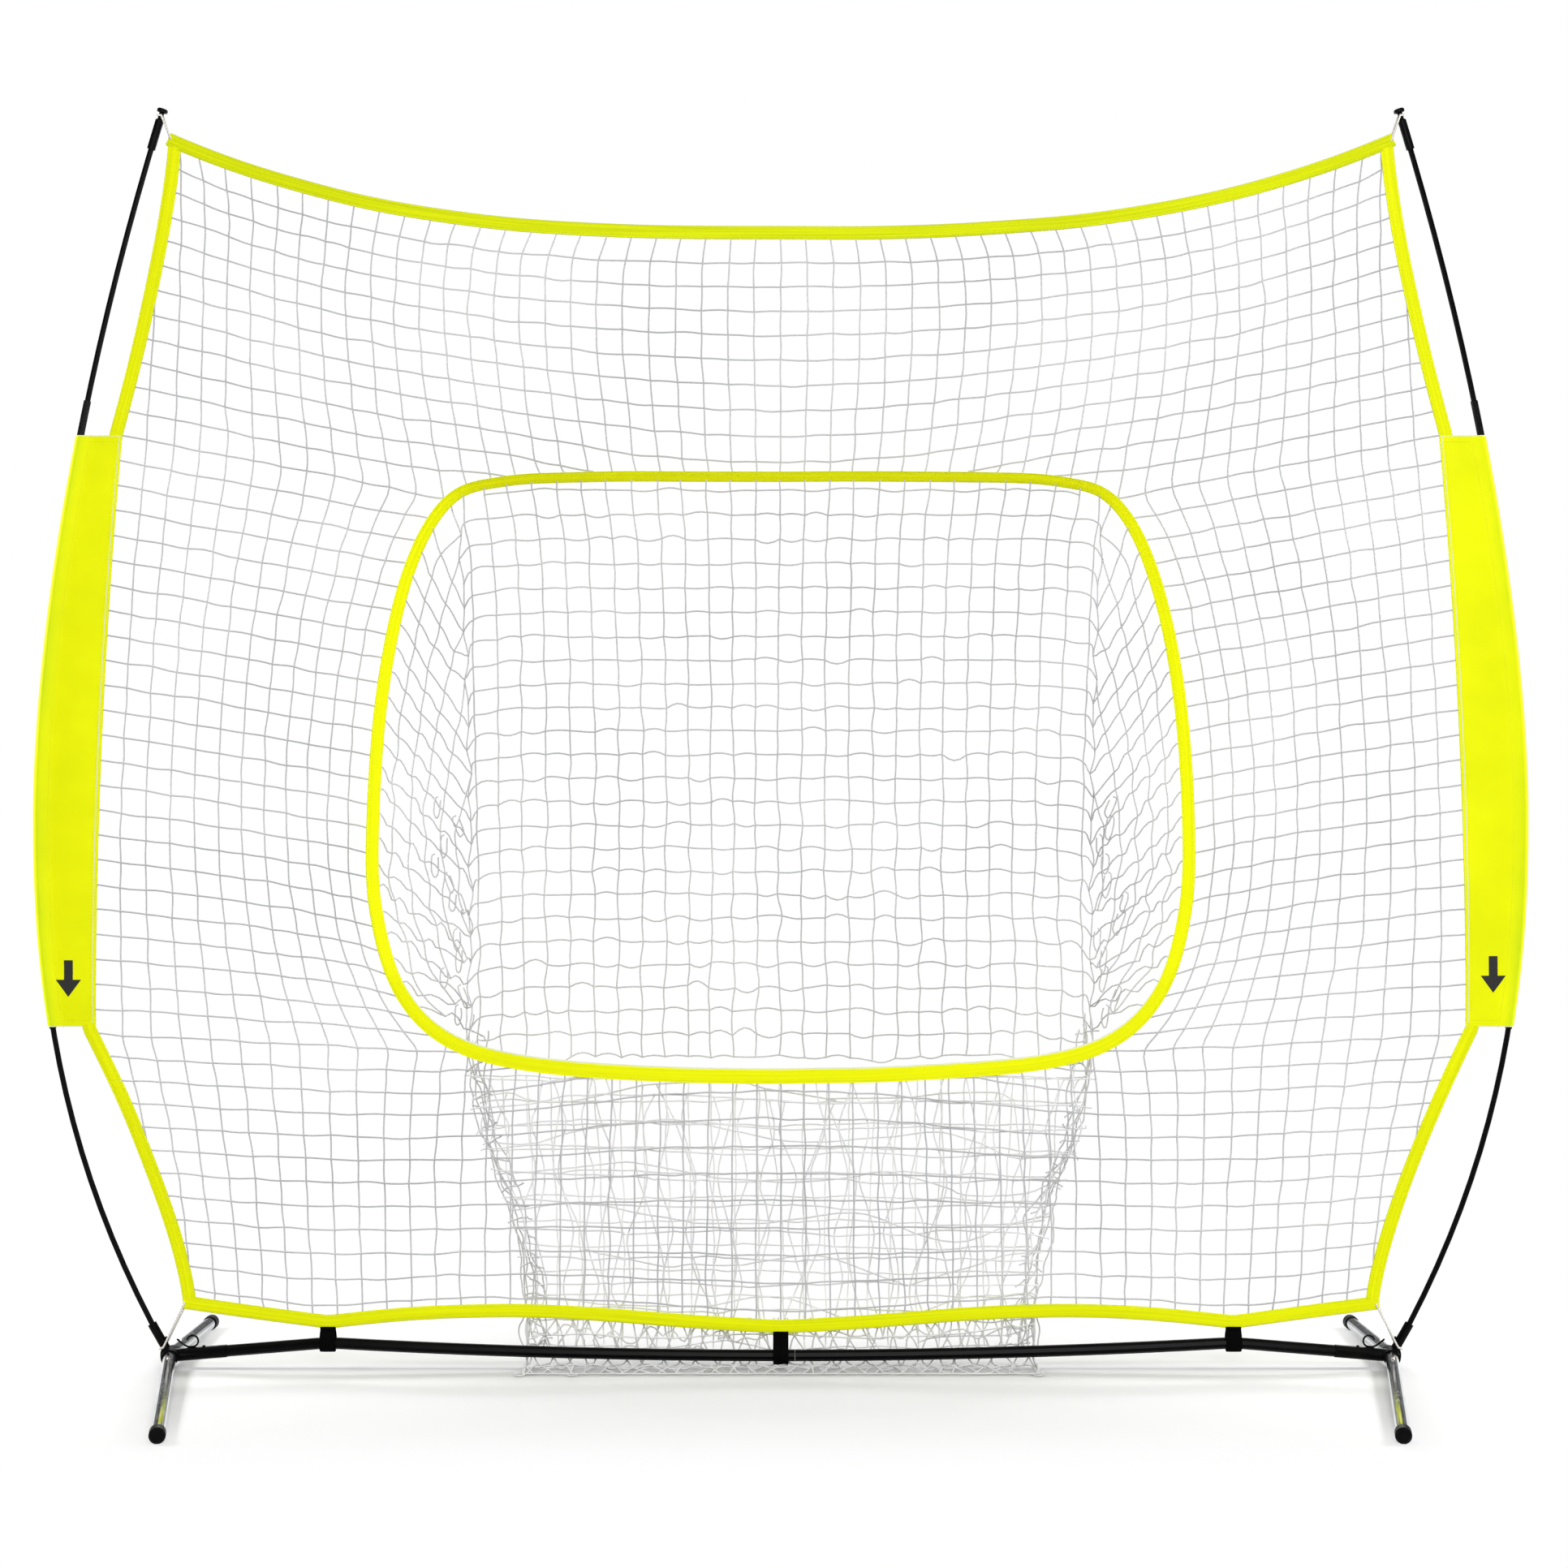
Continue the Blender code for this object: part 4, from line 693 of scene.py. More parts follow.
def sleeve_front(z, ripple):
    """Places of the sleeve's flat front across, and half the gap and the ripple there."""
    inner, near = side_inner_x(z), sleeve_near_x(z)
    rows = []
    for share in np.linspace(0, 1, 10):
        x = mix(inner, near, share)
        lip = 1.5 * MM - 0.6 * MM * min(share * 4, 1)
        rows.append((x, lip + BILLOW * math.sin(math.pi * share), ripple(x, z)))
    return rows


def sleeve_section(z, ripple):
    """The sleeve's cloth at a height, from its front lip round the pole to its back lip."""
    front, pole = sleeve_front(z, ripple), pole_x(z)
    arc = [(pole + SLEEVE_RING * math.cos(a), SLEEVE_RING * math.sin(a))
           for a in np.radians(np.linspace(-128, 128, 11))]
    return [(x, r - y) for x, y, r in front] + arc + [(x, y + r) for x, y, r in front[::-1]]


def make_sleeve(side, word):
    heights = np.linspace(SLEEVE_BOTTOM, SLEEVE_TOP, 100)
    folds = [(CHANCE.uniform(5, 14), CHANCE.uniform(-9, 9), CHANCE.uniform(0, 6),
              CHANCE.uniform(0.15, 0.4) * MM) for _ in range(5)]

    def ripple(x, z):
        ends = min(z - SLEEVE_BOTTOM, SLEEVE_TOP - z)
        grow = 1 + 1.6 * math.exp(-ends / 0.06)
        middle = max(0.0, 1 - abs((x - 1.19) / 0.05)) ** 0.5
        return sum(h * math.sin(a * 9 * z + b * 3 * x + c) for a, b, c, h in folds) * grow * middle

    def wall(z):
        return SLEEVE_CLOTH * (1 + 0.8 * (min(abs(z - SLEEVE_TOP), abs(z - SLEEVE_BOTTOM)) < HEM))

    sections = np.array([[(x, y, wall(z)) for x, y in sleeve_section(z, ripple)]
                         for z in heights])
    inner = np.array([side_inner_x(z) for z in heights])[:, None]
    outer = np.array([pole_x(z) + SLEEVE_RING for z in heights])[:, None]
    share = part(sections[..., 0], inner, outer)
    line = np.array([(0, NET_Y, z) for z in heights])
    name = f"pole_sleeve_cloth_{word}"
    cloth = make_piece(name, swept(name, line, (side, 0, 0), (0, 1, 0), sections, across=share),
                       SLEEVE, [f"pole_sleeve_{word}"])
    rows = []
    for face in (-1, 1):
        skin = SLEEVE_CLOTH / 2 + 0.15 * MM

        def stitch(x, z, gap):
            return side * x, NET_Y + face * (gap + skin) + ripple(x, z), z

        for inset in (3 * MM, 9 * MM):
            rows.append([stitch(side_inner_x(z) + inset, z, 1.35 * MM) for z in heights])
        rows.append([stitch(sleeve_near_x(z), z, BILLOW) for z in heights])
        for z in (SLEEVE_TOP - 11 * MM, SLEEVE_BOTTOM + 11 * MM):
            edge, near = side_inner_x(z), sleeve_near_x(z)
            gap = 1.0 * MM + SLEEVE_CLOTH * 0.5
            rows.append([stitch(x, z, gap + BILLOW * math.sin(math.pi * part(x, edge, near)))
                         for x in np.linspace(edge, near, 12)])
    seams = stitched(f"sleeve_stitching_{word}", [np.array(row) for row in rows])
    arrow = sleeve_arrow(side, word, ripple)


def sleeve_arrow(side, word, ripple):
    """A plain printed arrow that points down the sleeve, as thin as ink, on its front."""
    rise = 0.007 if side > 0 else 0.0        # sewn a little higher on the right
    half_head, half_stem, top_z, low_z = 0.0215, 0.0075, ARROW_TOP + rise, ARROW_BOTTOM + rise
    neck = low_z + 0.029
    outline = [(-half_stem, top_z), (half_stem, top_z), (half_stem, neck), (half_head, neck),
               (0, low_z), (-half_head, neck), (-half_stem, neck)]
    bm = bmesh.new()
    bm.faces.new([bm.verts.new((side * (ARROW_X + x), 0, z)) for x, z in outline])
    for axis, marks in (((1, 0, 0), np.arange(1.17, 1.24, 0.004) * side),
                        ((0, 0, 1), np.arange(0.62, 0.70, 0.006))):
        for mark in marks:
            bmesh.ops.bisect_plane(bm, geom=bm.verts[:] + bm.edges[:] + bm.faces[:],
                                   plane_co=Vector(axis) * mark, plane_no=axis)
    for vertex in bm.verts:
        x, z = abs(vertex.co.x), vertex.co.z
        rows = sleeve_section(z, ripple)[:16]
        front = np.interp(x, [r[0] for r in rows], [r[1] for r in rows])
        vertex.co.y = NET_Y + front - SLEEVE_CLOTH / 2 - 0.12 * MM
    bmesh.ops.recalc_face_normals(bm, faces=bm.faces)
    bmesh.ops.solidify(bm, geom=bm.faces[:], thickness=0.1 * MM)
    data = bpy.data.meshes.new(f"sleeve_arrow_{word}")
    bm.to_mesh(data)
    bm.free()
    return make_piece(f"sleeve_arrow_{word}", data, INK)


# ---- the main net ---------------------------------------------------------------------------
# Places on the net are counted in meshes: c across from the middle, j up from the bottom tape.
TOP_ROWS = 47.3              # meshes from the bottom tape to the top tape
COLUMNS, ROWS = range(-25, 26), np.arange(0.3, TOP_ROWS - 0.5)
UPPER_LINE, LOWER_LINE = 35.3, 11.6     # rows at the sleeve's ends and at the mouth's corners
MOUTH_HALF = 14.05           # meshes from the middle to the mouth's corners
MOUTH_TOP, MOUTH_BOTTOM = 38.0, 8.6     # rows at the middle of the mouth's edges
MOUTH_BEND = 2.4             # how squarely the mouth's edges turn at its corners
SIDE_MIDDLE, SIDE_TOP, SIDE_BOTTOM = 25.9, 23.9, 23.7      # meshes from the middle to the side
NET_LOW, NET_HIGH = 0.122, 2.068        # heights of the net's lower and upper corners
BOTTOM_REACH = 0.986         # where the outermost column meets the bottom tape
TOP_GAP, TOP_STRETCH = 0.04208, 1.25e-6     # the columns' gap along the top tape, and its growth
ROW_GAP = 0.041
SHORTEST = 0.15              # least length of a strand's last piece
# height and reach of the upper net's swing outwards, and how far it goes
SWING_START, SWING_SPAN, SWING = 1.464, 0.49, 0.026
TWINE_RADIUS = 1.4 * MM
KNOT_RADIUS = 2.1 * MM
TUCK = 0.0105                # how far a strand's end lies inside its tape


def mouth_row(c, middle, corner):
    return mix(middle, corner, (abs(c) / MOUTH_HALF) ** MOUTH_BEND)


def mouth_column(j, middle, corner):
    return MOUTH_HALF * part(j, middle, corner) ** (1 / MOUTH_BEND)


def side_column(j):
    if j > UPPER_LINE:
        return mix(SIDE_MIDDLE, SIDE_TOP, part(j, UPPER_LINE, TOP_ROWS))
    return mix(SIDE_MIDDLE, SIDE_BOTTOM, max(LOWER_LINE - j, 0) / LOWER_LINE)


def side_place(j):
    """Where row j meets the net's right edge."""
    z = np.interp(j, (0, LOWER_LINE, UPPER_LINE, TOP_ROWS),
                  (NET_LOW, SLEEVE_BOTTOM, SLEEVE_TOP, NET_HIGH))
    return side_inner_x(z), z


def mouth_place(part, share):
    """A place on the mouth's right half: its top, its side or its bottom, and how far along."""
    line = RIM_PARTS[part]
    length = measure(line)[-1]
    place, ahead, behind = along(line, np.array(
        (share, min(share + 0.01, 1), max(share - 0.01, 0))) * length)
    run = unit(ahead - behind)
    return place + np.array((-run[1], run[0])) * (TAPE_WIDTH / 2)


def mirrored(place, c):
    return np.array(place) * (-1 if c < 0 else 1, 1)


def main_net_strands():
    """Every strand of the main net as rows of (c, j, place or None), ends on tape or mouth."""
    strands = []

    def weave(spans, marks, spot):
        for start, start_place, end, end_place in spans:
            inner = [(*spot(mark), None) for mark in marks
                     if start + SHORTEST < mark < end - SHORTEST]
            strands.append([(*spot(start), start_place)] + inner + [(*spot(end), end_place)])

    for c in COLUMNS:
        size, low, high = abs(c), 0.0, TOP_ROWS
        low_place = mirrored((size / SIDE_BOTTOM * BOTTOM_REACH, 0), c)
        low_place[1] = bottom_tape_z(low_place[0]) + TAPE_WIDTH / 2
        high_place = mirrored((TOP_GAP * size + TOP_STRETCH * size ** 3, 0), c)
        high_place[1] = top_tape_z(high_place[0]) - TAPE_WIDTH / 2
        if size > SIDE_BOTTOM:
            low = LOWER_LINE * part(size, SIDE_BOTTOM, SIDE_MIDDLE)
            low_place = mirrored(side_place(low), c)
        if size > SIDE_TOP:
            high = mix(TOP_ROWS, UPPER_LINE, part(size, SIDE_TOP, SIDE_MIDDLE))
            high_place = mirrored(side_place(high), c)
        spans = [(low, low_place, high, high_place)]
        if size < MOUTH_HALF:
            share = size / MOUTH_HALF
            spans = [(low, low_place, mouth_row(c, MOUTH_BOTTOM, LOWER_LINE),
                      mirrored(mouth_place(BOTTOM, 1 - share), c)),
                     (mouth_row(c, MOUTH_TOP, UPPER_LINE), mirrored(mouth_place(TOP, share), c),
                      high, high_place)]
        weave(spans, ROWS, lambda j: (c, j))
    for j in ROWS:
        edge, right, half = side_column(j), np.array(side_place(j)), MOUTH_HALF
        spans = [(-edge, right * (-1, 1), edge, right)]
        if MOUTH_BOTTOM < j < MOUTH_TOP:
            if j > UPPER_LINE:
                half = mouth_column(j, MOUTH_TOP, UPPER_LINE)
                place = mouth_place(TOP, half / MOUTH_HALF)
            elif j > LOWER_LINE:
                place = mouth_place(SIDE, part(j, UPPER_LINE, LOWER_LINE))
            else:
                half = mouth_column(j, MOUTH_BOTTOM, LOWER_LINE)
                place = mouth_place(BOTTOM, 1 - half / MOUTH_HALF)
            spans = [(-edge, right * (-1, 1), -half, place * (-1, 1)), (half, place, edge, right)]
        weave(spans, COLUMNS, lambda c: (c, j))
    return strands


def knot_key(c, j):
    return round(c), round(j, 2)


def relaxed(strands):
    """Places of all crossings, each at the balance of its four strands, as in a taut net."""
    index = {}
    for strand in strands:
        for c, j, place in strand:
            if place is None:
                index.setdefault(knot_key(c, j), len(index))
    corner = {UPPER_LINE: mouth_place(TOP, 1.0), LOWER_LINE: mouth_place(BOTTOM, 0.0)}
    matrix, answer = np.zeros((len(index), len(index))), np.zeros((len(index), 2))

    def pinned(c, j):
        """Rows at the sleeve's ends are pulled straight to the mouth's corners."""
        for line in (UPPER_LINE, LOWER_LINE):
            if abs(j - line) < 0.45 and abs(c) > MOUTH_HALF:
                place = mix(corner[line], np.array(side_place(line)),
                            part(abs(c), MOUTH_HALF, SIDE_MIDDLE))
                place[1] += (j - line) * ROW_GAP
                return mirrored(place, c)
        return None

    for strand in strands:
        for first, second in zip(strand, strand[1:]):
            pull = 1 / max(math.hypot(second[0] - first[0], second[1] - first[1]), SHORTEST)
            for (ca, ja, pa), (cb, jb, pb) in ((first, second), (second, first)):
                if pa is not None or pinned(ca, ja) is not None:
                    continue
                row = index[knot_key(ca, ja)]
                matrix[row, row] += pull
                if pb is None:
                    matrix[row, index[knot_key(cb, jb)]] -= pull
                else:
                    answer[row] += pull * pb
    for (c, j), row in index.items():
        place = pinned(c, j)
        if place is not None:
            matrix[row, row], answer[row] = 1, place
    solved = np.linalg.solve(matrix, answer)
    for (c, j), row in index.items():
        if j > UPPER_LINE - 1:
            # above the mouth the columns swing outwards before they turn up to the tape
            share = np.clip((solved[row, 1] - SWING_START) / SWING_SPAN, 0, 1)
            wide = SWING * math.sin(math.pi * min(abs(c) / 24, 1))
            solved[row, 0] += math.copysign(wide * (share ** 1.6 * (1 - share) * 5.2), c)
        solved[row] += CHANCE.normal(0, 0.9 * MM, 2)
    return {key: solved[row] for key, row in index.items()}


def slack_line(places, marks, steps, bow, hook=0.0):
    """A strand through its crossings, marked one by one or all alike. Each length between two
    is bowed by some millimetres, and with a hook it leaves the first level before it drops."""
    places = np.asarray(places, float)
    curve = smooth(places, steps)
    flags = np.zeros(len(curve), bool)
    flags[::steps] = marks
    count = len(places) - 1
    offsets = CHANCE.normal(0, 1, (count, 3)) * (np.array(bow) * MM)
    hooks = hook * MM * CHANCE.uniform(0.2, 1.5, count)
    for k in range(1, steps):
        curve[k::steps][:count] += offsets * math.sin(math.pi * k / steps)
        curve[k::steps][:count, 2] += hooks * math.sin(1.5 * math.pi * k / steps)
    return curve, flags


def netting(name, lines, nodes, look=TWINE, thick=0.96, knot=0.86):
    """A net of twine along its strands, with its knots. Slack twine is drawn a little thinner."""
    return grown(name, NETTING, lines, {
        "Twine radius": TWINE_RADIUS * thick, "Knot radius": KNOT_RADIUS * knot, "Look": look},
        nodes)


def make_main_net():
    strands = main_net_strands()
    crossing = relaxed(strands)
    lines = []
    depth = {key: CHANCE.normal(0, 0.5 * MM) for key in crossing}
    for strand in strands:
        is_row = abs(strand[0][1] - strand[-1][1]) < 1e-6
        places, marks = [], []
        for c, j, place in strand:
            inner = place is None
            x, z = crossing[knot_key(c, j)] if inner else place
            places.append(np.array((x, NET_Y + (depth[knot_key(c, j)] if inner else 0), z)))
            marks.append(inner and is_row)
        for end, inner in ((0, 1), (-1, -2)):
            places[end] = places[end] + unit(places[end] - places[inner]) * TUCK
        lines.append(slack_line(places, marks, 3, (0.5, 0.3, 0.7)))
    netting("netting", lines, ["net_top", "net_bottom", "net_left", "net_right"],
            thick=1.0, knot=1.0)


# ---- the pocket -----------------------------------------------------------------------------
MESH = 0.0406                # knot to knot in the slack net
BACK_MESHES = 13.35          # meshes from the middle of the pocket's back to its edge
FRONT = 0.0035               # least distance of the pocket's twine behind the net's plane
BAG_TOP = 0.515
SEAM_KNOTS = np.arange(1.452, 0.02, -MESH)      # knots down the edges of the pocket's back


def pocket_seam(z):
    """Half width and depth of the pocket's back at a height."""
    rows = np.array(POCKET_BACK)[::-1]
    return np.interp(z, rows[:, 2], rows[:, 0]), np.interp(z, rows[:, 2], rows[:, 1])


def seam_spot(z):
    """The nearest knot of the back's right edge, from the net's plane."""
    z = SEAM_KNOTS[np.abs(SEAM_KNOTS - z).argmin()]
    wide, deep = pocket_seam(z)
    return np.array((wide + 4 * MM * math.sin(z * 61), deep - 0.002, z))


def rim_z(x, part=TOP):
    """Height of the mouth's upper or lower edge above a place across."""
    edge = RIM_PARTS[part][::-1 if part == BOTTOM else 1]
    return np.interp(abs(x), edge[:, 0], edge[:, 1])


def mouth_x(z):
    """Half width of the mouth inside its tape at a height."""
    edge = RIM_PARTS[SIDE][::-1]
    return np.interp(z, edge[:, 1], edge[:, 0]) - TAPE_WIDTH * 0.30


def lattice(columns, rows, place, keep):
    """Strands both ways through the places of a grid, cut where a place isn't kept: first the
    columns, as (places, None), then the rows, as (places, row)."""
    grid = {(c, r): place(c, r) for c in columns for r in rows if keep(c, r)}
    lines = []
    for first, second, is_row in ((columns, rows, False), (rows, columns, True)):
        for a in first:
            run = []
            for b in [*second, None]:
                key = (b, a) if is_row else (a, b)
                if key in grid:
                    run.append(grid[key])
                    continue
                if len(run) > 1:
                    lines.append((run, a if is_row else None))
                run = []
    return lines


def make_pocket_back():
    """The back net, which hangs down from the mouth's top edge in nearly square meshes."""
    columns = range(-13, 14)
    drift = wander(1.2, 0.2, 3.0 * MM)
    heights = 1.485 - MESH * np.arange(25)

    def place(c, k):
        z = heights[k]
        wide, depth = pocket_seam(z)
        x = c / BACK_MESHES * wide * (1 + 0.004 * math.sin(z * 7 + c * 0.4))
        x += drift(0.6 + c * 0.04) * math.sin((z - 0.5) * 3)
        hang = 0.015 * np.clip((abs(x) - 0.43) / 0.11, 0, 1) ** 1.5
        jump = CHANCE.normal(0, (0.8 + 1.6 * sunk_by(z, 1.25, 0.8)) * MM, 3)
        return np.array((x, NET_Y + depth, z - hang)) + jump

    def keep(c, k):
        return heights[k] < rim_z(c / BACK_MESHES * 0.56) - 0.006

    lines = []
    for run, row in lattice(columns, range(len(heights)), place, keep):
        if row is None:
            x = run[0][0]
            start = np.array((x, NET_Y + 0.003, rim_z(x) - 0.002))
            lines.append(slack_line([start] + run, False, 3, (0.7, 0.8, 0.2)))
        elif len(run) > 2:
            z = heights[row]
            if len(run) == len(columns):
                left, right = (seam_spot(z - 0.024) * (side, 1, 1) + (0, NET_Y, 0)
                               for side in (-1, 1))
                run = [left, *run, right]
            bow = (0.4, 1.0, 2.4 + 2.2 * sunk_by(z, 1.25, 0.8))
            lines.append(slack_line(run, True, 4, bow))
    netting("pocket_back_netting", lines, ["pocket_back"])


def side_meshes(strand):
    """Columns that follow the mouth's edge, rows that run down from it steeply to the back's
    edge and close up below the middle, and the back's edge itself."""
    columns = {}
    for number, z in enumerate(np.arange(1.462, 0.530, -0.0405)):
        loose = sunk_by(z, 1.10, 0.40)
        steep = 1.35 - 0.45 * sunk_by(z, 1.40, 0.80)
        gap = 0.033 - 0.0085 * sunk_by(z, 1.40, 0.35)
        row = [np.array((mouth_x(z), 0.004, z))]
        for k in range(1, 9):
            low = z - steep * gap * k
            x = mouth_x(low) - gap * k
            wide, deep = pocket_seam(low)
            if x < wide + 0.010:
                break
            share = gap * k / (mouth_x(low) - wide)
            spot = np.array((x, 0.004 + (deep - 0.008) * share, low))
            spot += CHANCE.normal(0, 1, 3) * (1.4 + 1.8 * loose, 1.5, 1.4 + 3.6 * loose) * MM
            spot[0] += (-1) ** (k + number) * 4.2 * MM * loose
            spot[1] = max(spot[1], FRONT)
            row.append(spot)
            columns.setdefault(k, []).append(spot)
        if z > 0.60:
            x, _, low = row[-1]
            row.append(seam_spot(low - steep * (x - pocket_seam(low)[0])))
        if len(row) > 1:
            strand(row, hook=4.5 + 5.0 * loose)
    for spots in columns.values():
        spots = sorted(spots, key=lambda spot: -spot[2])
        spots.insert(0, seam_spot(spots[0][2] + 0.045))
        if len(spots) > 2:
            strand(spots)
    strand([seam_spot(z) for z in SEAM_KNOTS], knotted=True)


def slack_loops(strand):
    """Slack meshes that hang as narrow loops."""
    for z in np.linspace(0.60, 0.96, 12):
        wide, deep = pocket_seam(z)
        x = wide + CHANCE.uniform(0.006, 0.55) * (mouth_x(z) - 0.03 - wide)
        y = deep * (1 - part(x, wide, mouth_x(z))) - 0.004
        tall, lean = CHANCE.uniform(0.028, 0.040), CHANCE.uniform(-0.010, 0.002)
        half = CHANCE.uniform(0.0045, 0.0065)
        loop = [(x - half - lean, y, z), (x - half, y, z - tall * 0.7), (x, y, z - tall),
                (x + half, y, z - tall * 0.7), (x + half - lean, y, z), (x - lean, y, z + 0.006)]
        strand(np.maximum(loop, FRONT), bow=(0.4, 0.4, 0.4))


def bunched_edge(strand):
    """The edge of the bag: twine bunched down it, and short rows from it into the bag's front."""
    for number in range(4):
        inset, sway = -0.004 + 0.012 * number, wander(1.0, 0.050, 6.0 * MM)
        spots = []
        for z in np.arange(0.60 - 0.012 * number, 0.012, -0.020):
            wide, deep = pocket_seam(z)
            y = 0.006 + (deep - 0.012) * (1 - number / 5) + CHANCE.normal(0, 1.5 * MM)
            spots.append((wide - inset + sway(0.6 - z) + CHANCE.normal(0, 1.5 * MM),
                          max(y, FRONT), z + CHANCE.normal(0, 2 * MM)))
        strand(spots)
    for z in np.arange(0.56, 0.03, -0.026):
        wide, deep = pocket_seam(z)
        fall, spots = CHANCE.uniform(-0.030, 0.030), []
        for share in (0, 0.35, 0.7, 1):
            spots.append((wide - 0.002 - 0.040 * share + CHANCE.normal(0, 1.5 * MM),
                          max(FRONT, 0.005 + (deep - 0.010) * (1 - share) * CHANCE.uniform(0.2, 1)),
                          max(z + fall * (share - 0.5) + CHANCE.normal(0, 3 * MM), 0.005)))
        strand(spots, knotted=True)


def make_pocket_side(side, word):
    """A side of the pocket, and the edge of the bag below it."""
    lines = []

    def strand(spots, knotted=False, hook=0.0, bow=(1.0, 1.0, 1.0)):
        """A slack strand of the right side, or its mirror image on the left."""
        marks = [False] + [True] * (len(spots) - 1) if hook else knotted
        curve, flags = slack_line(spots, marks, 4, bow, hook)
        lines.append((curve * (side, 1, 1) + (0, NET_Y, 0), flags))

    side_meshes(strand)
    slack_loops(strand)
    bunched_edge(strand)
    netting(f"pocket_side_netting_{word}", lines, [f"pocket_side_{word}"])


def bag_layer(depth, gap, drop, zig, lean, sway, roof, phase=0.0):
    """One layer of the bag's net: a grid that narrows a little downwards. Its strands draw
    together with one neighbour and then with the other, and its rows rise and fall."""
    top_wide = pocket_seam(0.50)[0]
    rise = wander(3.4, 0.15, sway)
    tips = CHANCE.normal(0, lean, 41)

    def plain(c, r):
        z = BAG_TOP - (r + phase) * drop
        x = (c + phase) * gap * (0.7 + 0.3 * pocket_seam(z)[0] / top_wide)
        x += zig * (-1) ** c * math.cos(math.pi * r / 2) + tips[c + 20] * (0.3 - z)
        return x, z + rise(1.6 + x + r * 0.07)

    def spot(c, r):
        x, z = plain(c, r)
        return np.array((x, NET_Y + depth(z), z)) + CHANCE.normal(0, 1.2 * MM, 3) * (1, 0.6, 1)

    def keep(c, r):
        x, z = plain(c, r)
        return abs(x) < pocket_seam(z)[0] - 0.010 and 0.020 < z < roof(x)

    lines = []
    for run, row in lattice(range(-17, 18), range(-2, int(0.5 / drop) + 3), spot, keep):
        for side in () if row is None else (-1, 1):
            # a row's end lies in the bunched twine at the bag's edge
            x, y, z = run[0 if side < 0 else -1]
            wide = pocket_seam(z)[0]
            if wide - abs(x) < gap * 1.5 and x * side > 0:
                end = np.array((side * (wide - 0.004), y, z + CHANCE.normal(0, 5 * MM)))
                run.insert(0 if side < 0 else len(run), end)
        lines.append(slack_line(run, row is not None, 3, (1.0, 0.5, 1.0)))
    return lines


def floor_tangle():
    """The bag's closed end: it lies crumpled on the floor, under the bar and a little before it,
    and ends in a drawn-out hem."""
    lines = []
    for y, height, wave, high in ((0.018, 0.056, 1.5, 8), (0.017, 0.026, 1.5, 6),
                                  (-0.030, 0.0090, 7, 3)):
        spots = []
        for x in np.arange(-0.428, 0.429, 0.0205):
            jump = CHANCE.normal(0, 1, 3) * (2, wave, high) * MM
            spots.append((x + jump[0], NET_Y + y + jump[1], max(height + jump[2], 0.0028)))
        lines.append(slack_line(spots, False, 3, (1.5, 1.5, 0.6)))
    for way in (-1, 1):
        for x in np.arange(-0.480, 0.481, 0.031):
            slip = CHANCE.normal(0, 5 * MM, 5)
            fall = ((0, 0.018, 0.082), (0.018, 0.018, 0.044), (0.034, 0.010, 0.0070),
                    (0.052, -0.028, 0.0100 + slip[0] / 4), (0.070, -0.056, 0.0034))
            spots = [(min(max(x + way * ahead + shift, -0.430), 0.430), NET_Y + y, z)
                     for shift, (ahead, y, z) in zip(slip, fall)]
            lines.append(slack_line(spots, [False, True, True, True, False], 3, (2.0, 0.8, 0.2)))
    hem = [(x, NET_Y - 0.057 + CHANCE.normal(0, 0.8 * MM), 0.0036)
           for x in np.arange(-0.432, 0.433, 0.012)]
    lines.append(slack_line(hem, False, 3, (0.6, 0.4, 0.1)))
    for x in (-0.434, -0.346, 0.431):
        # a loose end of the hem's cord
        loop = [(x, NET_Y - 0.050, 0.0040), (x - 0.010, NET_Y - 0.060, 0.0032),
                (x - 0.004, NET_Y - 0.068, 0.0030), (x + 0.007, NET_Y - 0.064, 0.0032),
                (x + 0.004, NET_Y - 0.052, 0.0040)]
        lines.append(slack_line(loop, False, 4, (0.5, 0.5, 0.1)))
    return lines


def make_bag():
    """The bag below the mouth: its back, its front, and the slack that folds between them."""
    def back_depth(z):
        return pocket_seam(z)[1] - 0.002

    def front_depth(z):
        return 0.0034 + 0.0132 * sunk_by(z, RIM_BOTTOM, 0.419)

    def fold_depth(z):
        return 0.4 * back_depth(z) + 0.6 * front_depth(z)

    back = bag_layer(back_depth, 0.0405, 0.0405, 0.5 * MM, 0.01, 3 * MM, lambda x: 0.50)
    # the pocket's twine is painted paler than the main net's, as painted light
    netting("pocket_bag_netting", back, ["pocket_bag"], POCKET_TWINE_PAINTED_LIGHT)
    front = bag_layer(front_depth, 0.0440, 0.0440, 10 * MM, 0.06, 8 * MM,
                      lambda x: rim_z(x, BOTTOM) + 0.004, 0.4)
    front += bag_layer(fold_depth, 0.0720, 0.0700, 16 * MM, 0.14, 20 * MM, lambda x: 0.485, 0.7)
    netting("pocket_front_netting", front, ["pocket_front"], POCKET_TWINE_PAINTED_LIGHT)
    # the hem's twine is painted greyer, as painted shadow under the bar
    netting("pocket_hem_netting", floor_tangle(), (), HEM_TWINE_PAINTED_SHADE)


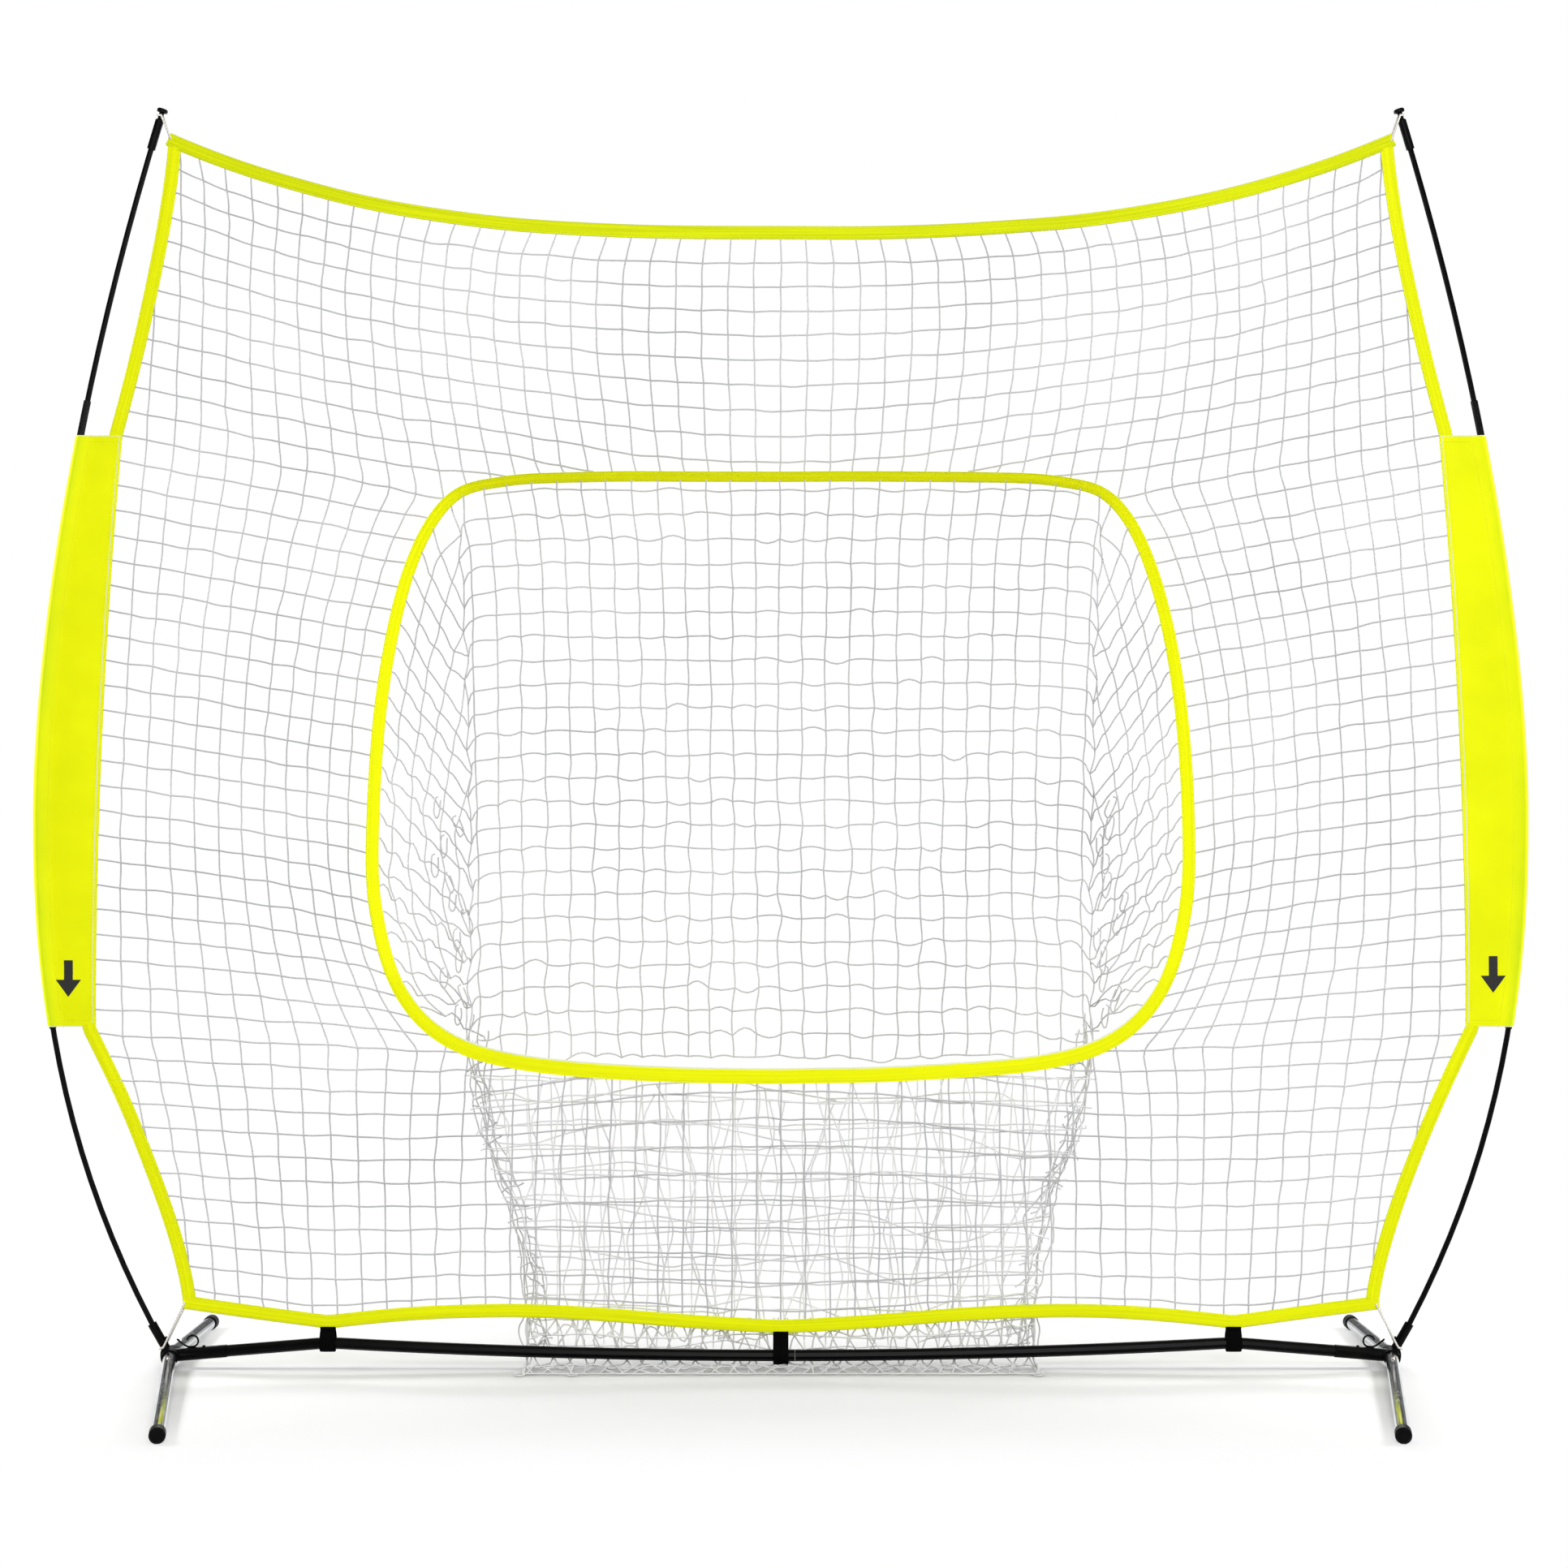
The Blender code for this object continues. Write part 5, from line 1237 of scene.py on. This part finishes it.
# ---- straps and corner loops ----------------------------------------------------------------
def make_strap(name, x):
    """A hook-and-loop strap sewn to the tape and closed round the base bar."""
    middle, radius = bar_z(x), BAR_RADIUS + 2.6 * MM
    top = bottom_tape_z(x) - TAPE_WIDTH / 2 - 0.6 * MM
    ring = [(radius * math.cos(a), middle + radius * math.sin(a))
            for a in np.radians(np.linspace(180, 360, 19))]
    flap = [(radius * 0.97, middle + radius * 0.45), (radius * 0.70, middle + radius * 0.95),
            (0.0042, middle + radius * 1.55), (0.0021, top - 0.004), (0.0021, top + 0.004)]
    path = [(-y, z) for y, z in flap[::-1]] + ring + flap
    band = evenly(smooth(path, 4), 2.5 * MM)
    tab = band[len(flap) * 2:int(len(band) * 0.56)]
    outward, parts = (1.0, 0.0, 0.0), []
    for label, places, lift, inset, nodes in (
        (name, band, 0.0, 0.0, [name.replace("band", "strap")]),
        (name + "_tab", tab, 2.0 * MM, 0.4 * MM, []),
    ):
        line = np.array([(x, NET_Y + y, z) for y, z in places])
        facing = np.cross(unit(np.gradient(line, axis=0)), outward)
        if facing[len(line) // 2].dot(line[len(line) // 2] - (x, NET_Y, middle)) < 0:
            facing = -facing
        half = STRAP_WIDTH / 2 - inset
        section = np.array([(-half, 0, 0.6 * MM), (-half + 1.2 * MM, 0, 1.5 * MM),
                            (-half / 2, 0.1 * MM, 1.7 * MM), (0, 0.15 * MM, 1.7 * MM),
                            (half / 2, 0.1 * MM, 1.7 * MM), (half - 1.2 * MM, 0, 1.5 * MM),
                            (half, 0, 0.6 * MM)])
        data = swept(label, line + facing * lift, outward, facing, section)
        parts.append(make_piece(label, data, WEBBING, nodes))
    return parts


def make_straps():
    for word, x, bar in (("left", -STRAP_HALF_SPAN, "left"), ("middle", 0.0, "left"),
                         ("right", STRAP_HALF_SPAN, "right")):
        band, tab = make_strap(f"band_{word}", x)


CORD_RADIUS = 1.6 * MM


def make_loop(name, node, corner, around, axis, radius, widest):
    """An elastic loop from the net's corner, round a post and back."""
    pull = (around - corner).normalized()
    across = axis.cross(pull).normalized()
    pull = across.cross(axis).normalized()
    bend = widest + 0.3 * MM + CORD_RADIUS
    centre = around - pull * (widest - radius)
    turn = [centre + across * (bend * math.cos(a)) + pull * (bend * math.sin(a))
            for a in np.linspace(0, math.pi, 11)]
    spread = across * (1.3 * MM + CORD_RADIUS) + axis * (1.7 * MM)
    first, last = corner + spread, corner - spread
    line = [first, first.lerp(turn[0], 0.35), first.lerp(turn[0], 0.7), *turn,
            turn[-1].lerp(last, 0.3), turn[-1].lerp(last, 0.65), last]
    line = smooth(np.array([tuple(p) for p in line]) + (0, NET_Y, 0), 4)
    make_piece(name, cord_mesh(name, line, CORD_RADIUS, 10), ELASTIC, [node])


def make_loops():
    for side, word in SIDES:
        mirror = Vector((side, 1, 1))
        for place, corner_x, tape_z, post_x, post_z, up, radius, widest in (
            ("top", TOP_CORNER_X, top_tape_z, TIP_HALF_SPAN, TIP_HEIGHT, 8.7 * MM, 0.0042, 0.0070),
            ("bottom", BOTTOM_CORNER_X, bottom_tape_z, HUB_HALF_SPAN, HUB_HEIGHT, 0.0186, 0.0076,
             0.0076),
        ):
            axis = pole_direction(post_z)
            post = Vector((post_x, 0, post_z)) + axis * up
            x = corner_x + TAPE_WIDTH * 0.3
            make_loop(f"elastic_{place}_{word}", f"{place}_loop_{word}",
                      Vector((x, 0, tape_z(x))) * mirror, post * mirror, axis * mirror, radius,
                      widest)


# ---- finishes of the CAD pieces -------------------------------------------------------------
FINISHES = (
    (("hub_", "base_bar_", "bar_button_"), POWDER_COAT),
    (("lower_pole_", "middle_pole_", "upper_pole_"), FIBREGLASS),
    (("lower_ferrule_", "upper_ferrule_"), FERRULE),
    (("tip_cap_", "front_foot_", "rear_foot_"), VINYL),
    (("front_leg_", "rear_leg_"), CHROME),
    (("front_button_", "rear_button_"), NICKEL),
)


def paint_frame():
    for name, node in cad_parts.items():
        for starts, look in FINISHES:
            if name.startswith(starts):
                node.data.materials.clear()
                node.data.materials.append(look)


# ---- floor, light and camera ----------------------------------------------------------------
FOCUS = Vector((0.0055, 0, 0.9877))     # the photograph's middle, on the net's plane
CAMERA_DISTANCE = 4.5
LENS, SENSOR = 61.13, 36
FLOOR_REACH = 30


def make_stage():
    data = bpy.data.meshes.new("floor")
    data.from_pydata([(x * FLOOR_REACH, y * FLOOR_REACH, 0)
                      for x, y in ((-1, -1), (1, -1), (1, 1), (-1, 1))], [], [(0, 1, 2, 3)])
    floor = new_object("floor", data)
    look, tree, shader = new_material("pale_studio_floor", Roughness=0.9,
                                      Specular_IOR_Level=0.0)
    path = add(tree, "ShaderNodeLightPath").outputs
    seen = calc(tree, "MAXIMUM", calc(tree, "MAXIMUM", path["Is Camera Ray"],
                                      path["Is Glossy Ray"]), path["Is Transmission Ray"])
    # pale to the eye, but it throws less light back up than it seems to
    wire(tree, shader, {"Base Color": blended(tree, seen, "#AEAEAE", "#DADADA")})
    # to the eye the floor turns plain white away from the object, as a swept backdrop does
    spot = add(tree, "ShaderNodeMapping", {"Vector": coords(tree),
                                           "Scale": (1 / 3.0, 1 / 0.6, 0)})
    sizes = split(tree, add(tree, "ShaderNodeVectorMath", {0: spot}, operation="ABSOLUTE"))
    far = calc(tree, "SMOOTH_MAX", sizes["X"], sizes["Y"], 0.2)
    share = calc(tree, "MULTIPLY", seen, eased(tree, far, 0.33, 1.0))
    white = add(tree, "ShaderNodeEmission", {"Color": "#FFFFFF", "Strength": 1.0})
    both = add(tree, "ShaderNodeMixShader", {"Fac": share, 1: shader, 2: white})
    wire(tree, tree.nodes["Material Output"], {"Surface": both})
    data.materials.append(look)


def make_world():
    """White to the camera, plain soft light on the object, and a darker band at eye level in
    what the bright metal reflects, as from a studio's side walls."""
    world = bpy.data.worlds.new("soft_studio")
    bpy.context.scene.world = world
    world.use_nodes = True
    tree = world.node_tree
    tree.nodes.clear()
    path = add(tree, "ShaderNodeLightPath").outputs
    seen = calc(tree, "MAXIMUM", path["Is Camera Ray"], path["Is Transmission Ray"])
    band = ramp(tree, split(tree, coords(tree, "Generated"))["Z"], (0.0, 0.90), (0.06, 0.50),
                (0.13, 0.12), (0.52, 0.09), (0.75, 0.55), (1.0, 1.0))
    white, light, mirror = (
        add(tree, "ShaderNodeBackground", {"Color": colour, "Strength": strength})
        for colour, strength in (("#FFFFFF", 1.0), ("#FFFFFF", 0.36), (band, 1.0)))
    lit = add(tree, "ShaderNodeMixShader", {"Fac": path["Is Glossy Ray"], 1: light, 2: mirror})
    last = add(tree, "ShaderNodeMixShader", {"Fac": seen, 1: lit, 2: white})
    add(tree, "ShaderNodeOutputWorld", {"Surface": last})


def make_lights():
    for name, place, width, height, power in (
        ("softbox_front", (0.6, -4.8, 3.0), 3.0, 3.0, 202),
        ("strip_behind", (0.0, 3.2, 1.9), 4.4, 0.7, 104),
        ("softbox_left", (-2.4, 0.2, 1.4), 0.5, 0.5, 34),
        ("softbox_right", (2.4, 0.2, 1.4), 0.5, 0.5, 34),
    ):
        data = bpy.data.lights.new(name, "AREA")
        data.shape, data.size, data.size_y, data.energy = "RECTANGLE", width, height, power
        lamp = new_object(name, data)
        lamp.location = place
        aim = Vector((0, NET_Y, 0.6)) - lamp.location
        lamp.rotation_euler = aim.to_track_quat("-Z", "Y").to_euler()


def make_camera():
    data = bpy.data.cameras.new("camera")
    data.lens, data.sensor_width, data.sensor_fit = LENS, SENSOR, "HORIZONTAL"
    camera = new_object("camera", data)
    camera.location = (FOCUS.x, NET_Y - CAMERA_DISTANCE, FOCUS.z)
    camera.rotation_euler = (math.pi / 2, 0, 0)
    bpy.context.scene.camera = camera


bpy.context.scene.view_settings.view_transform = "Standard"
make_camera()
make_world()
make_lights()
make_stage()
make_main_net()
make_tapes()
for side, word in SIDES:
    make_sleeve(side, word)
    make_pocket_side(side, word)
make_pocket_back()
make_bag()
make_straps()
make_loops()
paint_frame()
